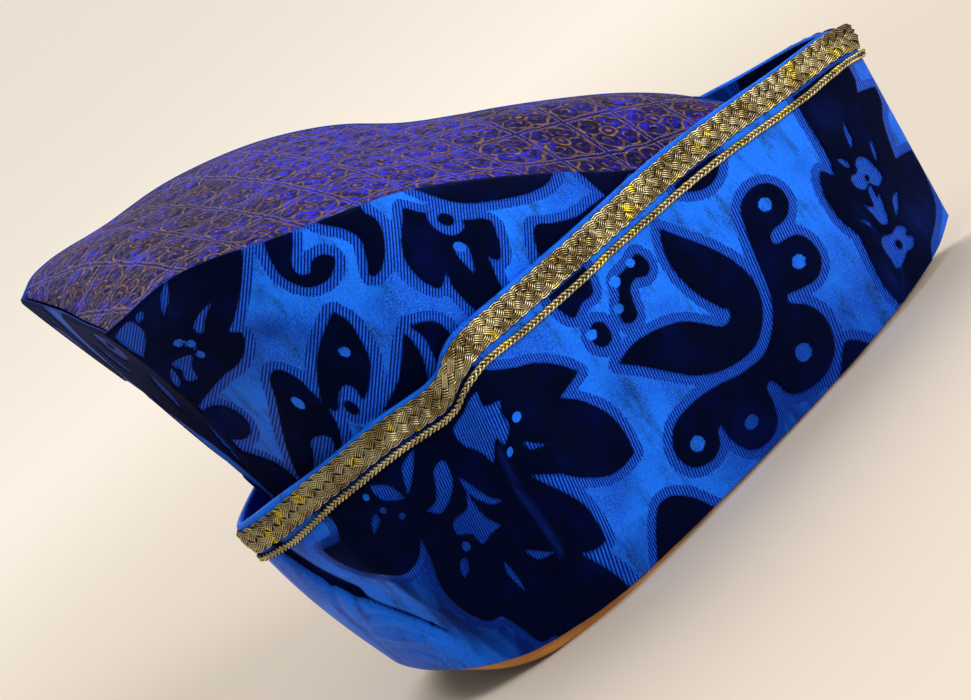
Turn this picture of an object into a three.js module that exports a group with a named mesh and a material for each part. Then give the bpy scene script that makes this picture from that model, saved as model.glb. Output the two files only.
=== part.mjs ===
// Folk costume cap of cut velvet: a stiff turned-up band that comes to a point in front, a soft
// bag crown with velvet sides and a brocade top that stands up behind, a plaited gilt braid and a
// narrow gilt braid round the band, and a tan lining that shows along the rim.
// Millimetres, +Z up, +X to the front, -Y to the wearer's right. The cap stands on its rim.
import * as THREE from 'three';

// The band: its outline at the top edge and at the rim, and its heights.
const bandLength = 287; // front point to back, along the top edge
const bandWidth = 142; // across the top edge, at the side creases
const bandHeight = 108.6; // floor to top edge at the side creases
const rimLength = 263; // front to back at the rim
const rimWidth = 130; // across the rim
const rimBackLift = 18; // the rim rises this much at the nape
const bandThickness = 2.4; // velvet, stiffening and facing together
const bandBulge = 2.5; // the wall's outward swell between rim and top edge
const prowSpan = 0.05; // share of the loop over which the swell fades towards the front point

// The lining: a wall inside the band that shows below the velvet.
const liningThickness = 1.0;
const liningReveal = 4.0; // how far it shows below the velvet, at most
const liningShare = 0.5; // share of the band's wall below the seam where the crown begins

// The crown: velvet sides from the seam inside the band, and the brocade top.
const crownLength = 296; // reach of the crown's table, front to back
const crownWidth = 120; // across the top seams
const crownRise = 96; // side of the band's top edge to the highest top seam
const crownThickness = 1.6;
const topThickness = 1.2;
const topPuff = 7; // swell of the brocade between its seams
const frontFade = 0.25; // share of its length over which the swell begins at the front
const backFade = 0.12; // and ends at the back seam
const backBow = 6; // how quickly the back seam's bow dies out forwards, as a power
const crownStandOff = 3; // from the band's inside to the crown, at the band's top edge
const backStandOff = 10; // the same at the nape, added to it
const napeSpan = 0.06; // share of the loop over which that fades
const flareHeight = 0.65; // share of the way up to the seam at which the sides flare out

// The gilt braids.
const wideBraidWidth = 10.4;
const wideBraidThickness = 2.2;
const wideBraidDrop = 6.8; // top edge to the middle of the braid
const narrowBraidWidth = 3.0;
const narrowBraidThickness = 2.0;
const braidSpacing = 8.8; // middle of the wide braid to middle of the narrow one
const braidShoulder = 0.55; // share of a braid's thickness at its long edges

const seamGap = 0.3; // clearance between pieces that are sewn together
const seamSlack = 1.8; // more room under the brocade's edge, where the sides lean
const footSlack = 0.5; // more room between the crown's foot and the band

// How far a corner's mitre may reach: the least share of it that the distance makes up.
const sharpMitre = 0.35;
const bluntMitre = 0.75;

// How finely the walls are divided.
const bandStations = 100;
const sideStations = 34; // along each long seam of the crown
const backStations = 10; // along the crown's back seam

// The right half of the band, from the front point to the nape. along is a share of half the
// length, out of half the width, up of the height, lift of the rim's lift, reveal of the lining's.
const bandRows = [
  { topAlong: 1.0, topOut: 0.0, topUp: 0.815, rimAlong: 1.0, rimOut: 0.0, lift: 0.44, reveal: 0.2 },
  { topAlong: 0.926, topOut: 0.1, topUp: 0.856, rimAlong: 0.913, rimOut: 0.108, lift: 0.22, reveal: 0.2 },
  { topAlong: 0.739, topOut: 0.26, topUp: 0.893, rimAlong: 0.79, rimOut: 0.254, lift: 0.12, reveal: 0.2 },
  { topAlong: 0.522, topOut: 0.437, topUp: 0.939, rimAlong: 0.593, rimOut: 0.431, lift: 0.03, reveal: 0.2 },
  { topAlong: 0.313, topOut: 0.585, topUp: 0.97, rimAlong: 0.297, rimOut: 0.646, lift: 0.0, reveal: 0.2 },
  { topAlong: 0.007, topOut: 0.782, topUp: 0.985, rimAlong: 0.008, rimOut: 0.823, lift: 0.0, reveal: 0.25 },
  { topAlong: -0.209, topOut: 0.887, topUp: 0.996, rimAlong: -0.243, rimOut: 0.938, lift: 0.0, reveal: 0.35 },
  { topAlong: -0.397, topOut: 0.993, topUp: 1.0, rimAlong: -0.433, rimOut: 1.0, lift: 0.0, reveal: 0.5 },
  { topAlong: -0.47, topOut: 0.965, topUp: 0.939, rimAlong: -0.585, rimOut: 0.992, lift: 0.0, reveal: 0.75 },
  { topAlong: -0.626, topOut: 0.775, topUp: 0.93, rimAlong: -0.7, rimOut: 0.938, lift: 0.05, reveal: 1.0 },
  { topAlong: -0.773, topOut: 0.563, topUp: 0.908, rimAlong: -0.807, rimOut: 0.83, lift: 0.23, reveal: 1.0 },
  { topAlong: -0.895, topOut: 0.31, topUp: 0.89, rimAlong: -0.898, rimOut: 0.646, lift: 0.58, reveal: 0.6 },
  { topAlong: -0.969, topOut: 0.127, topUp: 0.873, rimAlong: -0.963, rimOut: 0.354, lift: 0.86, reveal: 0.3 },
  { topAlong: -1.0, topOut: 0.0, topUp: 0.865, rimAlong: -0.989, rimOut: 0.0, lift: 1.0, reveal: 0.25 },
];

// Soft folds pressed into the band. around is a share of the whole loop from the front point,
// up a share of the wall's height, push a share of the band's width, the spans are widths, and
// lean is how far round the fold moves on its way from the rim to the top edge.
const bandFolds = [
  { around: 0.32, up: 0.55, push: 0.014, span: 0.012, spanUp: 0.6, lean: 0 },
  { around: 0.355, up: 0.6, push: -0.026, span: 0.02, spanUp: 0.5, lean: 0 },
  { around: 0.43, up: 0.4, push: 0.012, span: 0.016, spanUp: 0.3, lean: 0.075 },
  { around: 0.46, up: 0.45, push: -0.014, span: 0.016, spanUp: 0.3, lean: 0.075 },
  { around: 0.2, up: 0.4, push: -0.008, span: 0.05, spanUp: 0.5, lean: 0 },
  { around: 0.68, up: 0.55, push: 0.012, span: 0.014, spanUp: 0.6, lean: 0 },
  { around: 0.645, up: 0.5, push: -0.022, span: 0.022, spanUp: 0.5, lean: 0 },
  { around: 0.8, up: 0.45, push: -0.01, span: 0.05, spanUp: 0.5, lean: 0 },
];

// The crown's top seam. along is a share of half its length, out of half its width, and rise of
// its rise above the band's side. foot says where on the band's loop the wall stands: 0 is the
// front point, 1 the nape and 2 the front point again. swell is the wall's belly below the seam,
// in millimetres.
const rightSeam = [
  { along: 0.696, out: 0.0, rise: -0.298, foot: 0.0, swell: 0 },
  { along: 0.629, out: -0.217, rise: -0.215, foot: 0.09, swell: 0 },
  { along: 0.521, out: -0.367, rise: -0.163, foot: 0.17, swell: 1 },
  { along: 0.412, out: -0.467, rise: -0.121, foot: 0.24, swell: 2 },
  { along: 0.318, out: -0.525, rise: -0.08, foot: 0.3, swell: 3 },
  { along: 0.23, out: -0.6, rise: 0.0, foot: 0.36, swell: 4 },
  { along: 0.112, out: -0.7, rise: 0.14, foot: 0.42, swell: 6 },
  { along: -0.077, out: -0.833, rise: 0.34, foot: 0.52, swell: 7 },
  { along: -0.238, out: -0.933, rise: 0.482, foot: 0.61, swell: 7 },
  { along: -0.39, out: -1.0, rise: 0.57, foot: 0.69, swell: 6 },
  { along: -0.529, out: -1.033, rise: 0.643, foot: 0.765, swell: 6 },
  { along: -0.669, out: -1.0, rise: 0.725, foot: 0.84, swell: 5 },
  { along: -0.779, out: -0.967, rise: 0.762, foot: 0.895, swell: 4 },
  { along: -0.882, out: -0.933, rise: 0.755, foot: 0.94, swell: 3 },
  { along: -0.946, out: -0.9, rise: 0.75, foot: 0.965, swell: 3 },
];
const backSeam = [
  { along: -0.946, out: -0.9, rise: 0.75, foot: 0.965, swell: 3 },
  { along: -0.959, out: -0.45, rise: 0.8, foot: 0.985, swell: 7 },
  { along: -0.966, out: 0.0, rise: 0.85, foot: 1.005, swell: 11 },
  { along: -0.978, out: 0.467, rise: 0.89, foot: 1.03, swell: 15 },
  { along: -0.993, out: 0.9, rise: 0.926, foot: 1.055, swell: 18 },
];
const leftSeam = [
  { along: -0.993, out: 0.9, rise: 0.926, foot: 1.055, swell: 18 },
  { along: -0.932, out: 0.933, rise: 0.965, foot: 1.08, swell: 14 },
  { along: -0.861, out: 0.958, rise: 0.968, foot: 1.11, swell: 10 },
  { along: -0.719, out: 0.983, rise: 0.938, foot: 1.16, swell: 6 },
  { along: -0.532, out: 0.983, rise: 0.915, foot: 1.23, swell: 6 },
  { along: -0.301, out: 0.95, rise: 0.82, foot: 1.33, swell: 6 },
  { along: -0.124, out: 0.867, rise: 0.686, foot: 1.41, swell: 6 },
  { along: 0.01, out: 0.767, rise: 0.53, foot: 1.47, swell: 6 },
  { along: 0.112, out: 0.667, rise: 0.436, foot: 1.52, swell: 5 },
  { along: 0.216, out: 0.567, rise: 0.348, foot: 1.58, swell: 5 },
  { along: 0.34, out: 0.467, rise: 0.233, foot: 1.66, swell: 4 },
  { along: 0.464, out: 0.4, rise: 0.103, foot: 1.75, swell: 3 },
  { along: 0.572, out: 0.317, rise: -0.043, foot: 1.84, swell: 2 },
  { along: 0.649, out: 0.167, rise: -0.194, foot: 1.92, swell: 0 },
  { along: 0.696, out: 0.0, rise: -0.298, foot: 2.0, swell: 0 },
];

// Swells and hollows across the brocade top, as shares: along from the front, across from the
// right seam, and lift of the puff.
const topWaves = [
  { along: 0.78, across: 0.5, lift: -0.5, span: 0.1 },
  { along: 0.56, across: 0.6, lift: -0.7, span: 0.09 },
  { along: 0.3, across: 0.5, lift: 0.6, span: 0.12 },
  { along: 0.93, across: 0.7, lift: 0.3, span: 0.07 },
];

// A smooth curve through table rows, each turned into a point by place.
function curveThrough(rows, place) {
  return new THREE.CatmullRomCurve3(rows.map(place), false, 'centripetal');
}

// The value of a column at t, a share of the way through the rows.
function columnAt(rows, column, t) {
  const at = Math.min(Math.max(t, 0), 1) * (rows.length - 1);
  const row = Math.min(Math.floor(at), rows.length - 2);
  return THREE.MathUtils.lerp(rows[row][column], rows[row + 1][column], at - row);
}

// The band's full loop of rows: the right half, then its mirror image back to the front point.
const leftRows = bandRows.slice(0, -1).reverse();
const loopRows = [
  ...bandRows.map((row) => ({ ...row, side: -1 })),
  ...leftRows.map((row) => ({ ...row, side: 1 })),
];
const topEdge = curveThrough(loopRows, (row) => new THREE.Vector3(
  row.topAlong * bandLength / 2,
  row.side * row.topOut * bandWidth / 2,
  row.topUp * bandHeight,
));
const rimEdge = curveThrough(loopRows, (row) => new THREE.Vector3(
  row.rimAlong * rimLength / 2,
  row.side * row.rimOut * rimWidth / 2,
  row.lift * rimBackLift,
));

// A fall-off like a bell, one at its middle.
function bell(distance, span) {
  return Math.exp(-((distance / span) ** 2));
}

// How far the band's folds push its wall out at a place on the loop.
function foldPush(around, up) {
  let push = 0;
  for (const fold of bandFolds) {
    const middle = fold.around + fold.lean * (up - 0.5);
    push += fold.push * bandWidth * bell(around - middle, fold.span) * bell(up - fold.up, fold.spanUp);
  }
  return push;
}

// Moves the points of a flat-ish closed loop inwards by a distance, mitred at its corners. A loop
// that moves outwards turns its corners more bluntly. The loop runs clockwise seen from above.
function insetLoop(points, distance) {
  const sharpest = distance < 0 ? bluntMitre : sharpMitre;
  const count = points.length;
  return points.map((point, i) => {
    const before = points[(i + count - 1) % count];
    const after = points[(i + 1) % count];
    const first = new THREE.Vector2(point.y - before.y, before.x - point.x).normalize();
    const second = new THREE.Vector2(after.y - point.y, point.x - after.x).normalize();
    const mitre = first.clone().add(second).normalize();
    const reach = distance / Math.max(mitre.dot(first), sharpest);
    return new THREE.Vector3(point.x + mitre.x * reach, point.y + mitre.y * reach, point.z);
  });
}

// One ring round the band's outer face. up is a share of the wall's height above the lining's
// lower edge, and drop a distance down from that.
function bandRing(shares, up, drop = 0) {
  const ring = shares.map((around) => {
    const t = topEdge.getUtoTmapping(around);
    const top = topEdge.getPoint(t);
    const rim = rimEdge.getPoint(t);
    const share = up - drop / top.distanceTo(rim);
    return rim.lerp(top, share);
  });
  const swell = shares.map((around) => {
    const prow = bell(around, prowSpan) + bell(1 - around, prowSpan);
    return -bandBulge * (1 - prow) * Math.sin(Math.PI * up) - foldPush(around, up);
  });
  const full = insetLoop(ring, 1);
  return ring.map((point, i) => point.clone().lerp(full[i], swell[i]));
}

// Levels of the band's wall below its top edge, as shares of its height.
const wallLevels = [0, liningShare / 2, liningShare, (1 + liningShare) / 2];

// Shares of the way round the band for its stations, the front point first.
const bandShares = Array.from({ length: bandStations }, (_, i) => i / bandStations);

// A closed body from rings of equal count, each ring joined to the next and the last to the first.
// The first rings climb the outer face and the others come down inside. Both faces split their
// quads along the same diagonal, so that a piece that lies against another follows its facets.
function bodyFromRings(outer, inner) {
  const rings = [...outer, ...inner];
  const count = rings[0].length;
  const positions = rings.flat().flatMap((point) => [point.x, point.y, point.z]);
  const index = [];
  rings.forEach((_, ring) => {
    const from = ring * count;
    const to = (ring + 1) % rings.length * count;
    for (let i = 0; i < count; i += 1) {
      const j = (i + 1) % count;
      if (ring < outer.length) {
        index.push(from + i, to + i, to + j, from + i, to + j, from + j);
      } else {
        index.push(from + i, to + i, from + j, to + i, to + j, from + j);
      }
    }
  });
  return bodyFrom(positions, index);
}

function bodyFrom(positions, index) {
  const geometry = new THREE.BufferGeometry();
  geometry.setAttribute('position', new THREE.Float32BufferAttribute(positions, 3));
  geometry.setIndex(index);
  geometry.computeVertexNormals();
  return geometry;
}

function piece(name, geometry, color, roughness, metalness = 0) {
  const material = new THREE.MeshStandardMaterial({ color, roughness, metalness });
  const mesh = new THREE.Mesh(geometry, material);
  mesh.name = name;
  return mesh;
}

// The share of the wall's height at which the velvet's lower edge lies above the lining's.
function velvetEdge(shares) {
  return shares.map((around) => {
    const t = topEdge.getUtoTmapping(around);
    return liningReveal * columnAt(loopRows, 'reveal', t);
  });
}

// Raises each point of a ring along the wall by its own distance.
function raiseRing(ring, above, distances) {
  return ring.map((point, i) => {
    const way = above[i].clone().sub(point);
    return point.clone().addScaledVector(way.normalize(), distances[i]);
  });
}

function velvetBand() {
  const outer = wallLevels.map((up) => bandRing(bandShares, up));
  outer[0] = raiseRing(outer[0], outer[1], velvetEdge(bandShares));
  outer.push(bandRing(bandShares, 1, bandThickness / 2));
  const crest = insetLoop(bandRing(bandShares, 1), bandThickness / 2);
  const inner = [...outer].reverse().map((ring) => insetLoop(ring, bandThickness));
  return bodyFromRings([...outer, crest], inner);
}

function rimLining() {
  const levels = wallLevels.filter((up) => up <= liningShare);
  const outer = levels.map((up) => insetLoop(bandRing(bandShares, up), bandThickness + seamGap));
  const inner = [...outer].reverse().map((ring) => insetLoop(ring, liningThickness));
  return bodyFromRings(outer, inner);
}

// A strip of braid that lies on the band's outer face, with a domed front.
function braid(drop, width, thickness) {
  const edge = width / 2;
  const face = seamGap + thickness;
  const shoulder = seamGap + thickness * braidShoulder;
  const ring = (below, out) => insetLoop(braidPath(below), -out);
  const front = [
    ring(drop + edge, shoulder),
    ring(drop + edge / 2, face),
    ring(drop - edge / 2, face),
    ring(drop - edge, shoulder),
  ];
  const back = [ring(drop - edge, seamGap), ring(drop, seamGap), ring(drop + edge, seamGap)];
  return bodyFromRings(front, back);
}

// The band's outer face at a distance below its top edge. It follows the face's own rings.
function braidPath(below) {
  const upper = bandRing(bandShares, 1, bandThickness / 2);
  const lower = bandRing(bandShares, wallLevels[3]);
  return upper.map((point, i) => {
    const way = lower[i].clone().sub(point);
    const share = (below - bandThickness / 2) / way.length();
    return point.clone().addScaledVector(way, share);
  });
}

// One seam of the crown, sampled evenly along its length: the seam's points and their feet.
function sampleSeam(rows, steps) {
  const curve = curveThrough(rows, (row) => new THREE.Vector3(
    row.along * crownLength / 2,
    row.out * crownWidth / 2,
    bandHeight + row.rise * crownRise,
  ));
  return Array.from({ length: steps + 1 }, (_, i) => {
    const t = curve.getUtoTmapping(i / steps);
    return { point: curve.getPoint(t), foot: columnAt(rows, 'foot', t), swell: columnAt(rows, 'swell', t) };
  });
}

const right = sampleSeam(rightSeam, sideStations);
const back = sampleSeam(backSeam, backStations);
const left = sampleSeam(leftSeam, sideStations);
const seamStations = [...right, ...back.slice(1), ...left.slice(1, -1)];
const seamLoop = seamStations.map(({ point }) => point);
const footShares = seamStations.map(({ foot }) => foot / 2);
const swells = seamStations.map(({ swell }) => swell);

// The crown's velvet sides: up inside the band, past its top edge and out to the top seam.
function crownRings() {
  const seamLevel = bandRing(footShares, liningShare);
  const lifted = raiseRing(seamLevel, bandRing(footShares, wallLevels[3]), seamLevel.map(() => seamGap));
  const start = insetLoop(lifted, bandThickness + seamGap + footSlack);
  const brink = bandRing(footShares, 1);
  const clear = insetLoop(brink, bandThickness + crownStandOff).map((point, i) => {
    const nape = bell(footShares[i] - 0.5, napeSpan) * backStandOff;
    return point.clone().lerp(new THREE.Vector3(0, 0, point.z), nape / Math.hypot(point.x, point.y));
  });
  const outward = insetLoop(seamLoop, -1);
  const belly = seamLoop.map((point, i) => outward[i].clone().sub(point).multiplyScalar(swells[i]));
  return [0, 0.5, 1, 1.25, 1.5, 1.75, 2].map((level) => seamLoop.map((seam, i) => {
    const low = Math.min(clear[i].z, seam.z - (seam.z - start[i].z) / 2);
    const knee = clear[i].clone();
    if (low < clear[i].z) {
      knee.lerpVectors(start[i], seam, 0.5);
    }
    if (level <= 1) {
      return start[i].clone().lerp(knee, level);
    }
    const v = level - 1;
    const control = knee.clone().add(belly[i]).setZ(THREE.MathUtils.lerp(knee.z, seam.z, flareHeight));
    const first = knee.clone().lerp(control, v);
    const second = control.clone().lerp(seam, v);
    return first.lerp(second, v);
  }));
}

function crownSides() {
  const outer = crownRings();
  const inner = [...outer].reverse().map((ring) => insetLoop(ring, crownThickness));
  return bodyFromRings(outer, inner);
}

// The brocade top spans the seam loop from side to side, set just inside the velvet's edge.
function topGrid(inset, below) {
  const border = insetLoop(seamLoop, inset);
  const rows = [];
  for (let i = 0; i <= sideStations; i += 1) {
    const near = border[i];
    const far = border[(border.length - i) % border.length];
    const row = [];
    for (let j = 0; j <= backStations; j += 1) {
      const across = j / backStations;
      const along = i / sideStations;
      const point = near.clone().lerp(far, across);
      const straight = border[sideStations].clone().lerp(border[sideStations + backStations], across);
      const bow = border[sideStations + j].clone().sub(straight);
      point.addScaledVector(bow, along ** backBow);
      point.z += topSwell(along, across) - below;
      row.push(point);
    }
    rows.push(row);
  }
  return rows;
}

function topSwell(along, across) {
  const ends = Math.min(1, (1 - along) / backFade) * Math.min(1, along / frontFade);
  const edge = Math.sin(Math.PI * across) * ends;
  let swell = 1;
  for (const wave of topWaves) {
    swell += wave.lift * bell(along - wave.along, wave.span) * bell(across - wave.across, 0.5);
  }
  return topPuff * edge * swell;
}

function brocadeTop() {
  const inset = crownThickness + seamGap;
  const upper = topGrid(inset, 0);
  const lower = topGrid(inset + seamSlack, topThickness);
  const positions = [];
  const number = (grid, offset) => grid.map((row, i) => row.map((point, j) => {
    if (i === 0 && j > 0) {
      return offset;
    }
    positions.push(point.x, point.y, point.z);
    return positions.length / 3 - 1;
  }));
  const above = number(upper, 0);
  const under = number(lower, positions.length / 3);
  const index = [];
  const face = (a, b, c) => {
    if (a !== b && b !== c && a !== c) {
      index.push(a, b, c);
    }
  };
  for (let i = 0; i < sideStations; i += 1) {
    for (let j = 0; j < backStations; j += 1) {
      face(above[i][j], above[i][j + 1], above[i + 1][j + 1]);
      face(above[i][j], above[i + 1][j + 1], above[i + 1][j]);
      face(under[i][j], under[i + 1][j + 1], under[i][j + 1]);
      face(under[i][j], under[i + 1][j], under[i + 1][j + 1]);
    }
  }
  const skirt = (a, b, c, d) => {
    face(a, b, c);
    face(a, c, d);
  };
  for (let i = 0; i < sideStations; i += 1) {
    const last = backStations;
    skirt(above[i][0], above[i + 1][0], under[i + 1][0], under[i][0]);
    skirt(above[i + 1][last], above[i][last], under[i][last], under[i + 1][last]);
  }
  for (let j = 0; j < backStations; j += 1) {
    const end = sideStations;
    skirt(above[end][j], above[end][j + 1], under[end][j + 1], under[end][j]);
  }
  return bodyFrom(positions, index);
}

const velvetBlue = 0x0f3fb4;
const brocadeViolet = 0x2d2376;
const liningTan = 0xb07a34;
const giltThread = 0x9c8a58;

const cap = new THREE.Group();
cap.add(
  piece('velvet_band', velvetBand(), velvetBlue, 0.75),
  piece('rim_lining', rimLining(), liningTan, 0.6),
  piece('crown_sides', crownSides(), velvetBlue, 0.75),
  piece('brocade_top', brocadeTop(), brocadeViolet, 0.55),
  piece('wide_braid', braid(wideBraidDrop, wideBraidWidth, wideBraidThickness), giltThread, 0.4, 0.8),
  piece(
    'narrow_braid',
    braid(wideBraidDrop + braidSpacing, narrowBraidWidth, narrowBraidThickness),
    giltThread,
    0.4,
    0.8,
  ),
);

// The origin lies under the middle of the cap, at the level of the floor.
const bounds = new THREE.Box3().setFromObject(cap);
const middle = bounds.getCenter(new THREE.Vector3());
cap.position.set(-middle.x, -middle.y, -bounds.min.z);

export default cap;
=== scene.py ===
import math
from functools import partial
import bpy
import numpy as np
from mathutils import Matrix, Vector


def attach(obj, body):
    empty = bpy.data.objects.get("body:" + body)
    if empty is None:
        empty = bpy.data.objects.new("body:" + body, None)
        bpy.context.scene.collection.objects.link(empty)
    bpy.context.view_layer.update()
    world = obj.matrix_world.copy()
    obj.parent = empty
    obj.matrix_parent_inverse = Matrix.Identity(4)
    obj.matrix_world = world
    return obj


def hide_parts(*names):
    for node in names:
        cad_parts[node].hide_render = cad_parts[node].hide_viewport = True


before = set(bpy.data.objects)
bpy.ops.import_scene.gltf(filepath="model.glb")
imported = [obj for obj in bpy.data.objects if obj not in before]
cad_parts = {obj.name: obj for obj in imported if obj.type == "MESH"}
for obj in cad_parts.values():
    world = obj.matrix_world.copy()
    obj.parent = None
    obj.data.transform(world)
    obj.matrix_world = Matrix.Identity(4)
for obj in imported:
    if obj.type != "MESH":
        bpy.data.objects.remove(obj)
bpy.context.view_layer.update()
scene = bpy.context.scene

# sizes of the cap in millimetres, the same as in the CAD source
band = {
    "length": 287, "width": 142, "height": 108.6, "rimLength": 263, "rimWidth": 130, "rimBackLift": 18,
    "thickness": 2.4, "bulge": 2.5, "prowSpan": 0.05, "stations": 100, "reveal": 4.0,
}
crown = {
    "length": 296, "width": 120, "rise": 96, "thickness": 1.6, "standOff": 3, "backStandOff": 10,
    "napeSpan": 0.06, "flareHeight": 0.65, "sideStations": 34, "backStations": 10, "footShare": 0.5,
}
seams = {"gap": 0.3, "slack": 1.8, "footSlack": 0.5, "sharpMitre": 0.35, "bluntMitre": 0.75}
toFrame = np.array([0.3746, 0.1282, 0.0538])

# topAlong, topOut, topUp, rimAlong, rimOut, lift, reveal
bandRows = np.array([
    [1.0, 0.0, 0.815, 1.0, 0.0, 0.44, 0.2],
    [0.926, 0.1, 0.856, 0.913, 0.108, 0.22, 0.2],
    [0.739, 0.26, 0.893, 0.79, 0.254, 0.12, 0.2],
    [0.522, 0.437, 0.939, 0.593, 0.431, 0.03, 0.2],
    [0.313, 0.585, 0.97, 0.297, 0.646, 0.0, 0.2],
    [0.007, 0.782, 0.985, 0.008, 0.823, 0.0, 0.25],
    [-0.209, 0.887, 0.996, -0.243, 0.938, 0.0, 0.35],
    [-0.397, 0.993, 1.0, -0.433, 1.0, 0.0, 0.5],
    [-0.47, 0.965, 0.939, -0.585, 0.992, 0.0, 0.75],
    [-0.626, 0.775, 0.93, -0.7, 0.938, 0.05, 1.0],
    [-0.773, 0.563, 0.908, -0.807, 0.83, 0.23, 1.0],
    [-0.895, 0.31, 0.89, -0.898, 0.646, 0.58, 0.6],
    [-0.969, 0.127, 0.873, -0.963, 0.354, 0.86, 0.3],
    [-1.0, 0.0, 0.865, -0.989, 0.0, 1.0, 0.25],
])
# around, up, push, span, spanUp, lean
bandFolds = [
    (0.32, 0.55, 0.014, 0.012, 0.6, 0),
    (0.355, 0.6, -0.026, 0.02, 0.5, 0),
    (0.43, 0.4, 0.012, 0.016, 0.3, 0.075),
    (0.46, 0.45, -0.014, 0.016, 0.3, 0.075),
    (0.2, 0.4, -0.008, 0.05, 0.5, 0),
    (0.68, 0.55, 0.012, 0.014, 0.6, 0),
    (0.645, 0.5, -0.022, 0.022, 0.5, 0),
    (0.8, 0.45, -0.01, 0.05, 0.5, 0),
]
# the sharper creases that the cloth shows between those folds
bandCreases = bandFolds + [
    (0.337, 0.45, 0.007, 0.006, 0.4, -0.012),
    (0.344, 0.5, -0.006, 0.006, 0.4, -0.012),
    (0.663, 0.45, 0.007, 0.006, 0.4, 0.012),
]
# along, out, rise, foot, swell
rightSeam = np.array([
    [0.696, 0.0, -0.298, 0.0, 0], [0.629, -0.217, -0.215, 0.09, 0], [0.521, -0.367, -0.163, 0.17, 1],
    [0.412, -0.467, -0.121, 0.24, 2], [0.318, -0.525, -0.08, 0.3, 3], [0.23, -0.6, 0.0, 0.36, 4],
    [0.112, -0.7, 0.14, 0.42, 6], [-0.077, -0.833, 0.34, 0.52, 7], [-0.238, -0.933, 0.482, 0.61, 7],
    [-0.39, -1.0, 0.57, 0.69, 6], [-0.529, -1.033, 0.643, 0.765, 6], [-0.669, -1.0, 0.725, 0.84, 5],
    [-0.779, -0.967, 0.762, 0.895, 4], [-0.882, -0.933, 0.755, 0.94, 3], [-0.946, -0.9, 0.75, 0.965, 3],
])
backSeam = np.array([
    [-0.946, -0.9, 0.75, 0.965, 3], [-0.959, -0.45, 0.8, 0.985, 7], [-0.966, 0.0, 0.85, 1.005, 11],
    [-0.978, 0.467, 0.89, 1.03, 15], [-0.993, 0.9, 0.926, 1.055, 18],
])
leftSeam = np.array([
    [-0.993, 0.9, 0.926, 1.055, 18], [-0.932, 0.933, 0.965, 1.08, 14], [-0.861, 0.958, 0.968, 1.11, 10],
    [-0.719, 0.983, 0.938, 1.16, 6], [-0.532, 0.983, 0.915, 1.23, 6], [-0.301, 0.95, 0.82, 1.33, 6],
    [-0.124, 0.867, 0.686, 1.41, 6], [0.01, 0.767, 0.53, 1.47, 6], [0.112, 0.667, 0.436, 1.52, 5],
    [0.216, 0.567, 0.348, 1.58, 5], [0.34, 0.467, 0.233, 1.66, 4], [0.464, 0.4, 0.103, 1.75, 3],
    [0.572, 0.317, -0.043, 1.84, 2], [0.649, 0.167, -0.194, 1.92, 0], [0.696, 0.0, -0.298, 2.0, 0],
])


def alongCurve(points, shares):
    # points on the smooth curve through rows of points, at shares of the way
    points = np.asarray(points, float)
    ends = np.vstack([2 * points[0] - points[1], points, 2 * points[-1] - points[-2]])
    place = np.clip(np.asarray(shares, float), 0, 1) * (len(points) - 1)
    row = np.minimum(place.astype(int), len(points) - 2)
    w = (place - row)[:, None]
    a, b, c, d = (ends[row + k] for k in range(4))
    ab, bc, cd = (np.maximum(((q - p) ** 2).sum(1)[:, None] ** 0.25, 1e-6) for p, q in ((a, b), (b, c), (c, d)))
    leave = ((b - a) / ab - (c - a) / (ab + bc) + (c - b) / bc) * bc
    arrive = ((c - b) / bc - (d - b) / (bc + cd) + (d - c) / cd) * bc
    return b + leave * w + (3 * (c - b) - 2 * leave - arrive) * w ** 2 + (2 * (b - c) + leave + arrive) * w ** 3


def runLength(points):
    return np.concatenate([[0], np.cumsum(np.linalg.norm(np.diff(points, axis=0), axis=1))])


def evenly(points, shares):
    # curve shares for even shares of the curve's length
    steps = np.linspace(0, 1, 201)
    far = runLength(alongCurve(points, steps))
    return np.interp(np.asarray(shares) * far[-1], far, steps)


def column(rows, name, shares):
    return np.interp(np.asarray(shares) * (len(rows) - 1), np.arange(len(rows)), rows[:, name])


def bell(distance, span):
    return np.exp(-(distance / span) ** 2)


loopRows = np.vstack([bandRows, bandRows[-2::-1]])
loopSide = np.concatenate([-np.ones(len(bandRows)), np.ones(len(bandRows) - 1)])
topPoints = np.stack([loopRows[:, 0] * band["length"] / 2, loopSide * loopRows[:, 1] * band["width"] / 2,
                      loopRows[:, 2] * band["height"]], 1)
rimPoints = np.stack([loopRows[:, 3] * band["rimLength"] / 2, loopSide * loopRows[:, 4] * band["rimWidth"] / 2,
                      loopRows[:, 5] * band["rimBackLift"]], 1)
bandShares = np.arange(band["stations"]) / band["stations"]
topLength = runLength(alongCurve(topPoints, np.linspace(0, 1, 201)))[-1]
topCurve = alongCurve(topPoints, evenly(topPoints, bandShares))
rimCurve = alongCurve(rimPoints, evenly(topPoints, bandShares))
wallHeight = np.linalg.norm(topCurve - rimCurve, axis=1)


def foldPush(around, up, folds):
    push = 0
    for at, high, much, span, spanUp, lean in folds:
        push = push + much * band["width"] * bell(around - at - lean * (up - 0.5), span) * bell(up - high, spanUp)
    return push


def inset(points, distance):
    # moves a closed loop inwards, mitred at its corners
    sharpest = seams["bluntMitre"] if distance < 0 else seams["sharpMitre"]
    sides = []
    for p, q in ((np.roll(points, 1, 0), points), (points, np.roll(points, -1, 0))):
        side = (q - p)[:, [1, 0]] * [1, -1]
        sides.append(side / np.maximum(np.linalg.norm(side, axis=1)[:, None], 1e-12))
    mitre = sides[0] + sides[1]
    mitre = mitre / np.maximum(np.linalg.norm(mitre, axis=1)[:, None], 1e-12)
    moved = points.copy()
    moved[:, :2] += mitre * (distance / np.maximum((mitre * sides[0]).sum(1), sharpest))[:, None]
    return moved


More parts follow.
